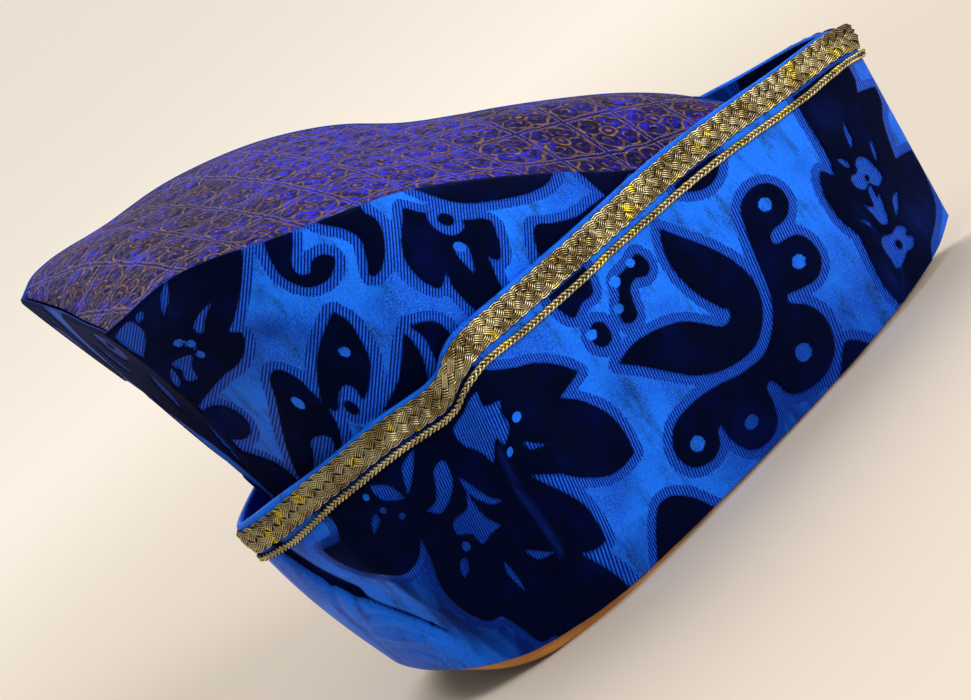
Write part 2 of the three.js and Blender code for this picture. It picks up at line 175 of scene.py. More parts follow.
def bandRing(shares, up, drop=0.0, folds=bandFolds):
    # one ring round the band's outer face, up its wall
    t = evenly(topPoints, shares)
    top, rim = alongCurve(topPoints, t), alongCurve(rimPoints, t)
    ring = rim + (top - rim) * (up - drop / np.linalg.norm(top - rim, axis=1))[:, None]
    prow = bell(shares, band["prowSpan"]) + bell(1 - shares, band["prowSpan"])
    swell = -band["bulge"] * (1 - prow) * np.sin(np.pi * np.asarray(up)) - foldPush(shares, up, folds)
    return ring + (inset(ring, 1) - ring) * swell[:, None]


def finer(ring, corners, places):
    # a loop's stations joined by smooth curves that break at its corners, at finer places
    closed = np.concatenate([ring, ring[:1]])
    fine = np.empty((len(places), ring.shape[1]))
    for first, last in zip(corners[:-1], corners[1:]):
        here = (places >= first) & (places <= last)
        fine[here] = alongCurve(closed[first:last + 1], (places[here] - first) / (last - first))
    return fine


def seamLine(rows, steps):
    points = np.stack([rows[:, 0] * crown["length"] / 2, rows[:, 1] * crown["width"] / 2,
                       band["height"] + rows[:, 2] * crown["rise"]], 1)
    t = evenly(points, np.linspace(0, 1, steps + 1))
    return alongCurve(points, t), column(rows, 3, t) / 2, column(rows, 4, t)


sideCount, backCount = crown["sideStations"], crown["backStations"]
crownCorners = [0, sideCount, sideCount + backCount, 2 * sideCount + backCount]
seamLines = [seamLine(rightSeam, sideCount), seamLine(backSeam, backCount), seamLine(leftSeam, sideCount)]
seamLoop, footShares, swells = (
    np.concatenate([seamLines[0][k], seamLines[1][k][1:], seamLines[2][k][1:-1]]) for k in range(3))


def crownGuides():
    # where each station of the crown's wall starts, bends at the band's top edge, and flares
    level = bandRing(footShares, crown["footShare"])
    way = bandRing(footShares, (1 + crown["footShare"]) / 2) - level
    lifted = level + way / np.linalg.norm(way, axis=1)[:, None] * seams["gap"]
    start = inset(lifted, band["thickness"] + seams["gap"] + seams["footSlack"])
    knee = inset(bandRing(footShares, 1), band["thickness"] + crown["standOff"])
    nape = bell(footShares - 0.5, crown["napeSpan"]) * crown["backStandOff"] / np.hypot(knee[:, 0], knee[:, 1])
    knee[:, :2] -= knee[:, :2] * nape[:, None]
    low = np.minimum(knee[:, 2], seamLoop[:, 2] - (seamLoop[:, 2] - start[:, 2]) / 2)
    knee = np.where((low < knee[:, 2])[:, None], (start + seamLoop) / 2, knee)
    flare = knee + (inset(seamLoop, -1) - seamLoop) * swells[:, None]
    flare[:, 2] = knee[:, 2] + (seamLoop[:, 2] - knee[:, 2]) * crown["flareHeight"]
    return start, knee, flare


def crownRing(guides, level):
    start, knee, flare = guides
    if level <= 1:
        return start + (knee - start) * level
    v = level - 1
    return (knee * (1 - v) + flare * v) * (1 - v) + (flare * (1 - v) + seamLoop * v) * v


def clothPiece(name, points, quads, marks=None):
    # a sheet of cloth as one mesh, from millimetre points in the CAD's own frame
    mesh = bpy.data.meshes.new(name)
    mesh.from_pydata(((points + toFrame) / 1000).tolist(), [], quads.tolist())
    for mark, values in (marks or {}).items():
        mesh.attributes.new(mark, "FLOAT", "POINT").data.foreach_set("value", np.asarray(values, np.float32).ravel())
    piece = bpy.data.objects.new(name, mesh)
    scene.collection.objects.link(piece)
    mesh.shade_smooth()
    return piece


def loopQuads(rows, count):
    # quads of a body made of closed rings, outside first and then down the inside
    row = np.arange(rows)[:, None]
    i = np.arange(count)[None, :]
    j = (i + 1) % count
    below, above = row * count, (row + 1) % rows * count
    return np.stack([below + j, above + j, above + i, below + i], 2).reshape(-1, 4)


# Charts of the cut pile, in millimetres. On the band they give the way round from the front point
# and the way down from the top edge, on the crown the way along its near seam and down from it.
# A point that stands twice is a corner. Pieces are laid on in order: pile is added, cut takes it away.
bandChart = [
    ("pile", [(11, 12), (11, 12), (11, 20), (14, 25), (14, 25), (2, 25), (2, 25), (3, 31), (8, 38), (11, 46),
            (13, 53), (13, 53), (1, 52), (1, 52), (1, 62), (4, 74), (12, 82), (22, 87), (30, 94), (30, 94),
            (63, 100), (63, 100), (65, 88), (62, 74), (60, 68), (60, 68), (63, 58), (61, 46), (56, 40), (52, 44),
            (52, 44), (49, 38), (47, 28), (44, 12), (44, 12)]),
    ("cut", [(30, 30), (30, 30), (33, 34), (35, 40), (35, 40), (32, 38)]),
    ("cut", [(21, 41), (21, 41), (24, 44), (26, 50), (26, 50), (23, 47)]),
    ("cut", [(30, 47), (34, 44), (38, 45), (40, 48), (45, 48), (46, 52), (42, 55), (38, 54), (34, 57), (28, 55),
            (29, 50)]),
    ("cut", [(46, 39), (46, 39), (44, 44), (42, 45), (42, 42)]),
    ("cut", [(36, 59), (36, 59), (39, 60), (38, 55), (41, 56), (44, 62), (49, 58), (49, 58), (47, 64), (46, 69),
            (42, 70), (39, 65)]),
    ("cut", [(24, 63), (24, 63), (30, 64), (35, 70), (35, 70), (30, 68)]),
    ("cut", [(57, 61), (57, 61), (53, 66), (50, 71), (50, 71), (52, 65)]),
    ("cut", [(33, 76), (38, 73), (44, 74), (50, 73), (53, 76), (53, 81), (53, 86), (47, 85), (42, 83), (36, 83),
            (32, 80), (36, 78)]),
    ("cut", [(51, 87), (51, 87), (60, 96), (60, 96), (56, 92)]),
    ("dot", (37, 52, 1.4, 1.2)), ("dot", (44, 79, 2.2, 1.8)),
    # the scroll of round lobes
    ("pile", [(76, 37), (79, 32), (86, 30), (93, 33), (97, 42), (100, 52), (103, 64), (108, 72), (117, 78),
            (130, 78), (145, 74.5), (159, 73), (168, 75), (173, 82), (171, 90), (164, 93), (158, 91), (155.5, 87),
            (153, 85.5), (153, 85.5), (153, 93), (149, 100), (140, 102.5), (131, 100), (127, 93), (126, 88),
            (123, 87), (121, 89), (119, 95), (112, 98.5), (102, 99), (95, 94), (92, 84), (94, 76), (99, 70),
            (98, 67.5), (98, 67.5), (92, 69.5), (86, 70), (81, 66), (80, 58), (83, 53), (91, 51), (91, 48),
            (89, 46.5), (82, 46), (77, 42)]),
    ("eye", (85, 37.5, 2.7, 2.6)), ("eye", (88, 61.3, 2.6, 2.7)), ("eye", (104.5, 87.5, 3.1, 3.3)),
    ("eye", (141, 93, 3.7, 2.4)), ("eye", (164.5, 85, 2.9, 2.8)),
    # the double leaf
    ("pile", [(124, 20), (124, 20), (128, 27), (129.5, 36), (127, 47), (121, 57), (120, 57), (120, 57), (121, 60),
            (126, 61), (131, 57), (139, 50), (150, 45.5), (161, 43.5), (170, 45), (170, 45), (164, 51), (157, 59),
            (150, 66), (141, 71), (129, 74), (118, 73.5), (109, 67), (105, 57), (107, 46), (113, 35), (119, 27)]),
    ("pile", [(87, 13), (91, 18), (97, 20), (104, 18), (109, 13), (98, 12)]),
    # berries
    ("pile", [(136, 25), (138, 21), (142, 22), (147, 22.5), (151, 23), (153, 27), (157, 31), (159, 35), (157, 37.5),
            (153, 37), (151, 33), (149, 29), (145, 27), (140, 29), (137, 28)]),
    ("eye", (142, 22, 1.9, 1.7)), ("eye", (151.5, 23.3, 2.2, 2.1)), ("eye", (157, 31, 1.9, 1.8)),
    ("pile", [(157, 12), (157, 12), (175, 12), (175, 12), (174, 20), (172, 23), (166, 21), (161, 21)]),
    ("pile", [(165, 31), (168, 29), (171, 31), (172, 35), (170, 37.5), (166, 37)]),
    ("eye", (171, 31.5, 2.1, 1.9)),
    # the large leaf flower
    ("pile", [(213, 12), (213, 12), (210, 17), (203, 22), (194, 26), (187, 32), (183, 38), (183, 38), (188, 39),
            (195, 40.5), (195, 40.5), (189, 46), (184, 55), (183, 63), (184.5, 72), (184.5, 72), (191, 73),
            (199, 72), (208, 66), (214, 58), (220, 50), (220, 50), (216, 62), (213, 73), (213, 81), (214, 88),
            (214, 88), (218, 86), (221, 82), (221, 82), (218, 94), (216, 106), (216, 106), (245, 106), (245, 106),
            (247, 96), (256, 94), (260, 84), (263, 78), (263, 78), (270, 76), (275, 67), (275, 57), (270, 47),
            (268, 40), (268, 40), (275, 45), (284, 46), (292, 42), (300, 37), (305, 30), (306, 24), (306, 24),
            (296, 25), (296, 25), (292, 18), (294, 12), (294, 12)]),
    ("cut", [(217, 18), (217, 18), (224, 17), (232, 18), (232, 24), (228, 30), (226, 37), (226, 37), (221, 33),
            (220, 37), (216, 35), (215, 29), (213, 27), (213, 27), (218, 23)]),
    ("cut", [(208, 51), (208, 51), (213, 46), (216, 40), (216, 40), (215, 46)]),
    ("eye", (212.5, 35, 1.7, 1.6)), ("eye", (220, 40, 1.2, 1.3)),
    ("cut", [(242, 24), (247, 25), (250, 30), (254, 34), (259, 34), (259, 34), (255, 38), (248, 36), (243, 31)]),
    ("cut", [(241, 31), (241, 31), (241, 39), (236, 46), (230, 48), (230, 48), (235, 43), (238, 37)]),
    ("cut", [(242, 38), (245, 42), (253, 43), (255, 47), (250, 50), (249, 55), (243, 54), (237, 54), (237, 54),
            (241, 48)]),
    ("cut", [(248, 15), (248, 15), (256, 18), (261, 27), (261, 27), (253, 21)]),
    ("cut", [(271, 15), (271, 15), (270, 22), (262, 27), (262, 27), (264, 20)]),
    ("cut", [(258, 55), (262, 55), (265, 60), (265, 60), (261, 59)]),
    ("cut", [(225, 74), (225, 74), (230, 69), (236, 64), (236, 64), (232, 71)]),
    ("cut", [(246, 64), (248, 69), (246, 78), (246, 78), (245, 70)]),
    ("cut", [(276, 27), (276, 24), (280, 26), (282, 29), (278, 28)]),
    ("eye", (274.5, 18, 1.4, 1.3)), ("eye", (272.5, 25, 1.4, 1.2)), ("eye", (268, 30.5, 1.4, 1.2)),
    ("eye", (255, 52, 1.8, 1.8)), ("cut", [(272, 73), (279, 71), (284, 73), (277, 76)]),
    # arches along the rim
    ("pile", [(172, 108), (172, 108), (178, 97), (184, 92), (189, 92), (195, 97), (204, 108), (204, 108)]),
    ("pile", [(82, 106), (82, 106), (88, 97), (91, 95), (95, 99), (101, 106), (101, 106)]),
]
# small creases and ridges in the band's cloth: their way on the chart, height and half width
bandWrinkles = [
    ([(324, 6), (322, 14), (318, 30), (312, 43)], -1.9, 2.6),
    ([(313, 41), (308, 52), (301, 61), (293, 72)], -1.3, 1.3),
    ([(318, 35), (323, 46), (324.5, 60), (326, 76)], -0.6, 1.1),
    ([(300, 71), (306, 60), (314, 53), (320, 52), (323, 58)], -0.45, 1.0),
    ([(305, 69), (311, 61), (318, 57)], -0.35, 0.9),
    ([(300, 74), (310, 68.5), (318, 63), (322, 59)], 0.5, 1.3),
    ([(308, 79), (313, 72), (321, 68)], -0.35, 1.0),
    ([(288, 70), (293, 66), (298, 68)], -0.3, 0.9),
    ([(222, 36), (224, 48), (224, 62), (224.5, 76)], 0.8, 0.9),
    ([(241, 15), (241, 25), (239, 34)], -0.45, 1.0),
    ([(50, 85), (61, 97)], 0.4, 0.9),
    ([(63, 20), (62, 45), (68, 80)], -0.25, 2.0),
]
# where the pile is rubbed thin: middle on the chart, reach along and down, how much
bandRubbed = [(18, 76, 15, 10, 0.6), (35, 25, 8, 6, 0.55), (60, 88, 6, 10, 0.5), (54, 66, 3, 8, 0.4),
              (300, 32, 5, 8, 0.4)]
# where the satin and its cords are darkened as painted shade, in the same way
bandPaintedShade = [
    (254, 54, 26, 36, 0.95), (272, 34, 20, 18, 0.95), (281, 68, 11, 24, 1.0), (300, 32, 5, 9, 1.0),
    (324, 70, 12, 26, 0.3), (5, 66, 7, 24, 0.5), (60, 88, 6, 10, 0.5), (62, 34, 5, 4, 0.35),
    (118, 100, 52, 26, 0.85), (196, 80, 10, 8, 0.4), (205, 100, 14, 10, 0.55), (178, 100, 20, 8, 0.4),
    (20, 90, 26, 8, 0.4), (176, 55, 8, 20, 0.3), (145, 60, 14, 5, 0.25),
]
# painted shade with an edge, beside the deep crease
bandPaintedShadeShapes = [
    ([(266, 42), (280, 49), (291, 45), (290, 56), (284, 70), (276, 94), (246, 97), (262, 80), (272, 74),
      (275, 62)], 1.0),
    ([(294, 23), (306, 23), (304, 34), (300, 40), (294, 41)], 0.9),
]
# how far round a shape its distance is worked out, in millimetres, and what stands for further off
chartReach = {"shape": 10, "eye": 12, "beyond": 30.0, "beyondEyes": 9.0}


def smoothOutline(points):
    # a closed outline through chart points, smooth except where a point stands twice
    points = np.asarray(points, float)
    twice = [i for i in range(len(points)) if np.allclose(points[i], points[(i + 1) % len(points)])]
    if not twice:
        looped = np.vstack([points[-3:], points, points[:3]])
        steps = np.arange(0, len(points), 0.2)
        return alongCurve(looped, (steps + 3) / (len(looped) - 1))
    points = np.roll(points, -(twice[0] + 1), axis=0)
    breaks = [i for i in range(len(points)) if np.allclose(points[i], points[(i + 1) % len(points)])]
    runs, first = [], 0
    for last in breaks:
        run = points[first:last + 1]
        runs.append(alongCurve(run, np.linspace(0, 1, 5 * len(run))) if len(run) > 1 else run)
        first = last + 1
    return np.concatenate(runs)


def signedDistance(outline, around, down):
    # how far each place lies outside an outline, negative inside
    a, b = outline, np.roll(outline, -1, axis=0)
    keep = np.linalg.norm(b - a, axis=1) > 1e-6
    a, b = a[keep], b[keep]
    best = np.full(around.shape, 1e9)
    odd = np.zeros(around.shape, bool)
    for (ax, ay), (bx, by) in zip(a, b):
        ex, ey = bx - ax, by - ay
        px, py = around - ax, down - ay
        h = np.clip((px * ex + py * ey) / (ex * ex + ey * ey), 0, 1)
        best = np.minimum(best, (px - h * ex) ** 2 + (py - h * ey) ** 2)
        if ay != by:
            crosses = (ay > down) != (by > down)
            odd ^= crosses & (px < ex * py / ey)
    return np.where(odd, -1, 1) * np.sqrt(best)


def chartFields(chart, around, down, border):
    # signed distances to the pile and to the plain satin past its ribbed border, to the eyes, and
    # the way from the nearest eye's middle in eye sizes, which keeps the eyes round in the material
    pile, eyes, cuts = (np.full(around.shape, chartReach["beyond"]) for _ in range(3))
    eyeAlong, eyeDown = (np.full(around.shape, chartReach["beyondEyes"]) for _ in range(2))
    for kind, shape in chart:
        if kind in ("eye", "dot"):
            s, d, across, high = shape
            near = (np.abs(around - s) < chartReach["eye"]) & (np.abs(down - d) < chartReach["eye"])
            distance = np.full(around.shape, float(chartReach["eye"]))
            reach = np.hypot((around[near] - s) / across, (down[near] - d) / high)
            distance[near] = (reach - 1) * (across + high) / 2
        else:
            outline = smoothOutline(shape)
            low, high = outline.min(0) - chartReach["shape"], outline.max(0) + chartReach["shape"]
            near = (around > low[0]) & (around < high[0]) & (down > low[1]) & (down < high[1])
            distance = np.full(around.shape, float(chartReach["shape"]))
            distance[near] = signedDistance(outline, around[near], down[near])
        if kind == "eye":
            nearest = distance < eyes
            eyeAlong[nearest] = (around[nearest] - s) / across
            eyeDown[nearest] = (down[nearest] - d) / high
            eyes = np.minimum(eyes, distance)
        elif kind == "cut":
            pile = np.maximum(pile, -distance)
            cuts = np.minimum(cuts, distance)
        else:
            pile = np.minimum(pile, distance)
    return pile, np.minimum(pile - border, cuts), eyes, eyeAlong, eyeDown


def wrinkleHeight(wrinkles, around, down):
    height = np.zeros(around.shape)
    for way, much, span in wrinkles:
        line = alongCurve(way, np.linspace(0, 1, 90))
        low, high = line.min(0) - 3 * span, line.max(0) + 3 * span
        near = (around > low[0]) & (around < high[0]) & (down > low[1]) & (down < high[1])
        gap = np.hypot(around[near][:, None] - line[:, 0], down[near][:, None] - line[:, 1]).min(1)
        height[near] += much * bell(gap, span)
    return height


def rubbedShare(places, around, down):
    share = np.zeros(around.shape)
    for s, d, wide, deep, much in places:
        share = np.maximum(share, much * bell(np.hypot((around - s) / wide, (down - d) / deep), 1.0))
    return share


def ease(values, start, end):
    share = np.clip((values - start) / (end - start), 0, 1)
    return share * share * (3 - 2 * share)


def surfaceNormals(grid):
    # outward normals of a grid of rings, rows up the wall and columns round it
    ahead = np.roll(grid, -1, axis=1) - np.roll(grid, 1, axis=1)
    normal = np.cross(np.gradient(grid, axis=0), ahead)
    return normal / np.maximum(np.linalg.norm(normal, axis=2)[..., None], 1e-12)


# in millimetres. The hem is how far the lowest rows stand above the velvet's edge, which fades up the
# wall. The back panel's way starts at backStart, and crownRib points across the cords of the sides.
# the inner, back and crease shade values darken the colour as painted shade, and the ridge value lightens the pile as
# painted highlight
velvet = {"pileHeight": 0.75, "border": 3.5, "ribTilt": 0.24, "bandStations": 640, "bandRows": 102,
          "turnedRows": 32, "turnedShift": 15.0, "hem": 0.6, "hemFade": 0.8, "innerPaintedShade": 0.9,
          "leftWrinkles": 0.4, "ridgePaintedHighlight": 1.2, "creasePaintedShade": 0.6,
          "crownStations": 640, "crownRows": 104, "innerRows": 12, "crownPile": 0.8, "crestLift": 0.35,
          "backStart": 140, "backPaintedShade": 0.6, "crownRib": (0.78, 0.624)}
bandPlaces = np.arange(velvet["bandStations"]) * band["stations"] / velvet["bandStations"]
bandAround = bandPlaces / band["stations"]
bandEdge = band["reveal"] * column(loopRows, 6, evenly(topPoints, bandShares)) / wallHeight


def bandGrid(rows):
    # rows of (share of the wall above the velvet's edge, millimetres above or below it, inset)
    grid = []
    for share, shift, depth in rows:
        up = bandEdge + (1 - bandEdge) * share + shift / wallHeight
        ring = bandRing(bandShares, up, 0.0, bandCreases)
        grid.append(finer(inset(ring, depth) if depth else ring, [0, band["stations"]], bandPlaces))
    return np.array(grid)


def makeVelvetBand():
    half = band["thickness"] / 2
    turn = np.linspace(0, np.pi, 9)
    outerRows = [(0, velvet["hem"], 0)] + [
        (v, velvet["hemFade"] * (1 - v) - half * v, 0) for v in np.linspace(0, 1, velvet["bandRows"])[1:]]
    crest = [(1, -half * (1 - math.sin(a)), half * (1 - math.cos(a))) for a in turn[1:-1]]
    # the velvet is turned over the edge and down the inside, where its rows open out
    innerRows = [(v, velvet["hemFade"] * (1 - v) - half * v, band["thickness"])
                 for v in 1 - np.linspace(0, 1, velvet["turnedRows"]) ** 1.5]
    foot = [(0, velvet["hem"] * (1 - math.sin(a)), half * (1 - math.cos(a))) for a in turn[-2:0:-2]]
    rows = outerRows + crest + innerRows + foot
    grid = bandGrid(rows)
    around = np.minimum(bandAround, 1 - bandAround) * topLength
    high, edge = (np.interp(bandPlaces, np.arange(band["stations"] + 1), np.append(field, field[0]))
                  for field in (wallHeight, bandEdge))
    shares, shifts = (np.array([row[k] for row in rows])[:, None] for k in (0, 1))
    down = (1 - edge) * (1 - shares) * high - shifts
    outer, turned = len(outerRows), len(outerRows) + len(crest)
    chartAround = np.broadcast_to(around, down.shape).copy()
    chartDown = down + np.where(np.arange(len(rows)) < turned, 0, velvet["turnedShift"])[:, None]
    pile, plain, eyes, eyeAlong, eyeDown = chartFields(bandChart, chartAround, chartDown, velvet["border"])
    rightSide = bandAround < 0.5
    wrinkles = wrinkleHeight(bandWrinkles, chartAround, down)
    wrinkles = wrinkles * np.where(rightSide, 1.0, velvet["leftWrinkles"])
    lift = velvet["pileHeight"] * ease(-np.maximum(pile, -eyes), -0.5, 0.8) * ease(down, 0.5, 1.5)
    lift = lift + wrinkles * ease(down, 1.5, 6.0)
    grid[:outer] += surfaceNormals(grid)[:outer] * lift[:outer, :, None]
    side = np.where(rightSide, 1, -1)
    rib = around * side + velvet["ribTilt"] * -down * side
    # worn pile in the listed places, and painted highlight along the ridges of the wrinkles
    rubbedAndRidgeHighlight = np.maximum(rubbedShare(bandRubbed, chartAround, down),
                        velvet["ridgePaintedHighlight"] * np.clip(wrinkles, 0, 0.8))
    # painted shade: darker satin and cords in the listed places, in the creases, and in the shapes beside the deep
    # crease
    paintedShadeAndScuffs = np.maximum(rubbedShare(bandPaintedShade, chartAround, down),
                        velvet["creasePaintedShade"] * np.clip(-wrinkles, 0, 1.5))
    for shape, much in bandPaintedShadeShapes:
        paintedShadeAndScuffs = np.maximum(paintedShadeAndScuffs, much * ease(-signedDistance(smoothOutline(shape), chartAround, down), -2.5, 1.5))
    # painted shadow: the deepest creases take the dark pile's colour
    pile = np.minimum(pile, 2 * wrinkles + 2.2)
    # painted shade over the whole inside of the band
    paintedShadeAndScuffs[turned:] = velvet["innerPaintedShade"]
    return clothPiece("velvet_band_cloth", grid.reshape(-1, 3), loopQuads(len(grid), len(bandPlaces)), {
        "pile": pile, "plain": plain, "rib": rib, "rubbedAndRidgeHighlight": rubbedAndRidgeHighlight, "paintedShadeAndScuffs": paintedShadeAndScuffs, "eyes": eyes,
        "eyeAlong": eyeAlong, "eyeDown": eyeDown})


crownChart = [
    ("pile", [(104, -8), (104, -8), (112, 0), (118, 5), (128, 8.7), (141, 10), (153, 9), (160, 5), (167, -2),
            (170, -8), (170, -8)]),
    ("pile", [(99, 11), (99, 11), (107, 15), (118, 20), (128, 21.5), (134, 21.5), (138, 27), (141, 36), (141, 36),
            (128, 34), (112, 24)]),
    ("pile", [(173, 6), (173, 6), (177, 12), (181, 18), (183, 25), (181.5, 33), (178.5, 36.5), (173, 32), (173, 32),
            (174, 38), (173, 44), (170, 52), (160, 46), (158, 37), (156.5, 30), (156.5, 30), (154, 32), (151, 28),
            (149, 22), (148, 17.5), (150, 16), (157, 15), (163, 10), (167, 10)]),
    ("cut", [(156.5, 13), (156.5, 13), (158, 18), (163, 20), (167, 17), (167.5, 11), (163, 8), (159, 9)]),
    ("dot", (162, 13.8, 2.6, 2.4)),
    ("eye", (163.5, 24.5, 2.2, 2.0)),
    ("cut", [(161, 24), (164, 23), (166, 26), (165.5, 31), (164.5, 36), (164.5, 36), (162.5, 31)]),
    ("pile", [(184, -6), (184, -6), (186, 2), (183.5, 7), (185, 15), (190, 23), (194, 23.5), (192, 17), (191, 11),
            (194, 6), (201, 1), (208, -6), (208, -6)]),
    ("pile", [(211, -6), (211, -6), (221, -6), (221, -6), (221, 6), (219, 14), (213, 19.5), (206, 18.5), (202, 13),
            (205, 10.5), (209, 11.5), (211, 15), (214.5, 14), (215, 9), (212, 3)]),
    ("pile", [(210.5, 30), (210.5, 30), (216, 36), (222, 44), (227, 54), (230, 63), (228, 67), (223.5, 60),
            (220, 57), (218, 59), (218, 64), (213, 58), (209, 50), (208, 42), (208, 35)]),
    ("eye", (214, 45, 1.6, 2.1)), ("dot", (223, 66.5, 1.9, 3.0)),
    ("pile", [(233, 51), (237, 47.5), (241, 50), (245, 60), (251, 72), (257, 84), (264, 99), (264, 99), (254, 94),
            (248, 86), (243, 78), (238, 76.5), (236, 78), (240, 88), (234, 80), (230.5, 70), (231, 59)]),
    ("eye", (238, 62, 1.8, 2.7)),
    ("pile", [(184, 52), (186, 46), (192, 43.5), (192, 43.5), (190, 50), (191, 62), (186, 58)]),
    ("pile", [(195, 46), (199, 51), (205, 60), (216, 71), (216, 71), (206, 72), (197, 62), (194, 53)]),
    ("pile", [(228, -6), (228, -6), (230, 5), (235, 16), (241, 25), (246, 30), (246, 30), (241, 31), (243, 37),
            (250, 44), (260, 49), (271, 54), (286, 62), (286, 62), (286, -6), (286, -6)]),
    ("cut", [(255, -1), (255, -1), (260, 4), (264, 14), (264, 14), (258, 8)]),
    ("cut", [(245, 16), (245, 16), (252, 20), (257, 26), (255, 28.5), (251, 23)]),
    ("eye", (261.7, 31, 2.0, 1.8)), ("eye", (266, 28.3, 2.2, 1.9)), ("eye", (261.5, 37, 2.0, 1.8)),
    ("dot", (265.5, 28, 0.8, 0.7)),
    ("cut", [(265, 36), (270, 35), (275, 36), (274, 41), (276, 46), (271, 47), (269, 41)]),
    ("cut", [(276, 36), (276, 36), (280, 42), (284, 50), (284, 50), (278, 45)]),
    ("cut", [(268, 4), (270, 3), (272, 7), (270, 8)]),
    ("cut", [(274, 3), (279, 4), (286, 12), (286, 30), (278, 22), (273, 14)]),
    ("pile", [(272, 61), (279, 61), (286, 66), (284, 75), (276, 78), (268, 75), (265, 69), (267, 64)]),
    ("pile", [(265, 95), (269, 89), (277, 85), (288, 78), (288, 78), (288, 106), (288, 106), (266, 104)]),
]
# the same cloth on the crown's hidden panels, down the wall below the charted part
crownMore = [
    ("pile", [(60, -6), (60, -6), (66, 8), (78, 18), (92, 20), (100, 12), (103, -6), (103, -6)]),
    ("cut", [(76, 4), (82, 2), (88, 6), (90, 12), (82, 13), (76, 10)]),
    ("pile", [(24, 4), (32, 1), (44, 8), (52, 20), (54, 34), (46, 30), (38, 20), (28, 14)]),
    ("eye", (42, 16, 2.2, 2.4)),
    ("pile", [(70, 34), (82, 30), (92, 36), (94, 48), (84, 54), (74, 50)]),
    ("eye", (84, 42, 2.6, 2.6)),
    ("pile", [(104, 44), (116, 42), (128, 50), (132, 64), (122, 70), (110, 62), (103, 52)]),
    ("cut", [(112, 50), (118, 50), (122, 56), (118, 60), (112, 56)]),
    ("pile", [(148, 58), (160, 56), (172, 64), (178, 78), (170, 86), (156, 78), (148, 68)]),
    ("eye", (163, 70, 2.6, 2.8)),
    ("pile", [(196, 84), (206, 78), (220, 86), (228, 98), (222, 108), (208, 104), (198, 96)]),
    ("pile", [(236, 108), (248, 104), (262, 110), (272, 122), (266, 134), (250, 130), (238, 120)]),
    ("eye", (255, 118, 2.6, 2.8)),
    ("pile", [(292, 20), (302, 12), (314, 18), (318, 34), (310, 48), (298, 42), (292, 32)]),
    ("eye", (306, 30, 2.8, 3)),
    ("pile", [(292, 64), (304, 60), (316, 70), (318, 88), (306, 96), (296, 84)]),
]
# the crown's back panel: the way from its right corner, and down from its seam
crownBack = [
    ("pile", [(-4, -6), (-4, -6), (40, -6), (58, 4), (66, 22), (60, 44), (44, 58), (30, 70), (20, 92), (12, 130),
            (-4, 150), (-4, 150)]),
    ("cut", [(12, 8), (20, 4), (28, 10), (26, 20), (18, 24), (11, 18)]), ("dot", (19, 14, 2.4, 2.8)),
    ("cut", [(10, 34), (10, 34), (18, 40), (22, 54), (22, 54), (14, 48)]),
    ("cut", [(32, 30), (32, 30), (44, 26), (52, 14), (52, 14), (40, 20)]),
    ("cut", [(6, 66), (6, 66), (14, 72), (16, 84), (16, 84), (9, 78)]), ("eye", (44, 44, 2.4, 2.4)),
    ("pile", [(76, -6), (76, -6), (130, -6), (130, -6), (130, 60), (104, 48), (90, 30), (80, 12)]),
    ("eye", (94, 12, 2.6, 2.6)), ("cut", [(100, 20), (110, 16), (116, 26), (106, 32)]),
    ("pile", [(70, 60), (84, 52), (98, 62), (104, 84), (92, 98), (76, 88), (68, 74)]), ("eye", (86, 72, 2.8, 2.8)),
    ("pile", [(34, 92), (48, 84), (60, 94), (62, 114), (48, 122), (36, 110)]),
]
# where the crown's pile is rubbed thin, and where its satin is darkened as painted shade, in the same way as on the
# band
crownRubbed = [(274, 70, 12, 10, 0.4), (268, 10, 16, 10, 0.3), (165, 0, 14, 4, 0.3)]
crownPaintedShade = [
    (232, 31, 8, 5, 0.7), (222, 36, 5, 7, 0.5), (229, 18, 3, 4, 0.5), (246, 44, 12, 8, 0.25), (268, 40, 18, 50, 0.35),
    (120, 70, 50, 14, 0.5), (196, 92, 60, 12, 0.5), (110, 2, 14, 8, 0.3),
]


def crownPlaces():
    # more of the mesh's columns stand on the longer sides
    counts = [int(velvet["crownStations"] * share) for share in (0.37, 0.16)]
    counts.append(velvet["crownStations"] - sum(counts))
    return np.concatenate([np.linspace(a, b, n, endpoint=False)
                           for a, b, n in zip(crownCorners[:-1], crownCorners[1:], counts)])


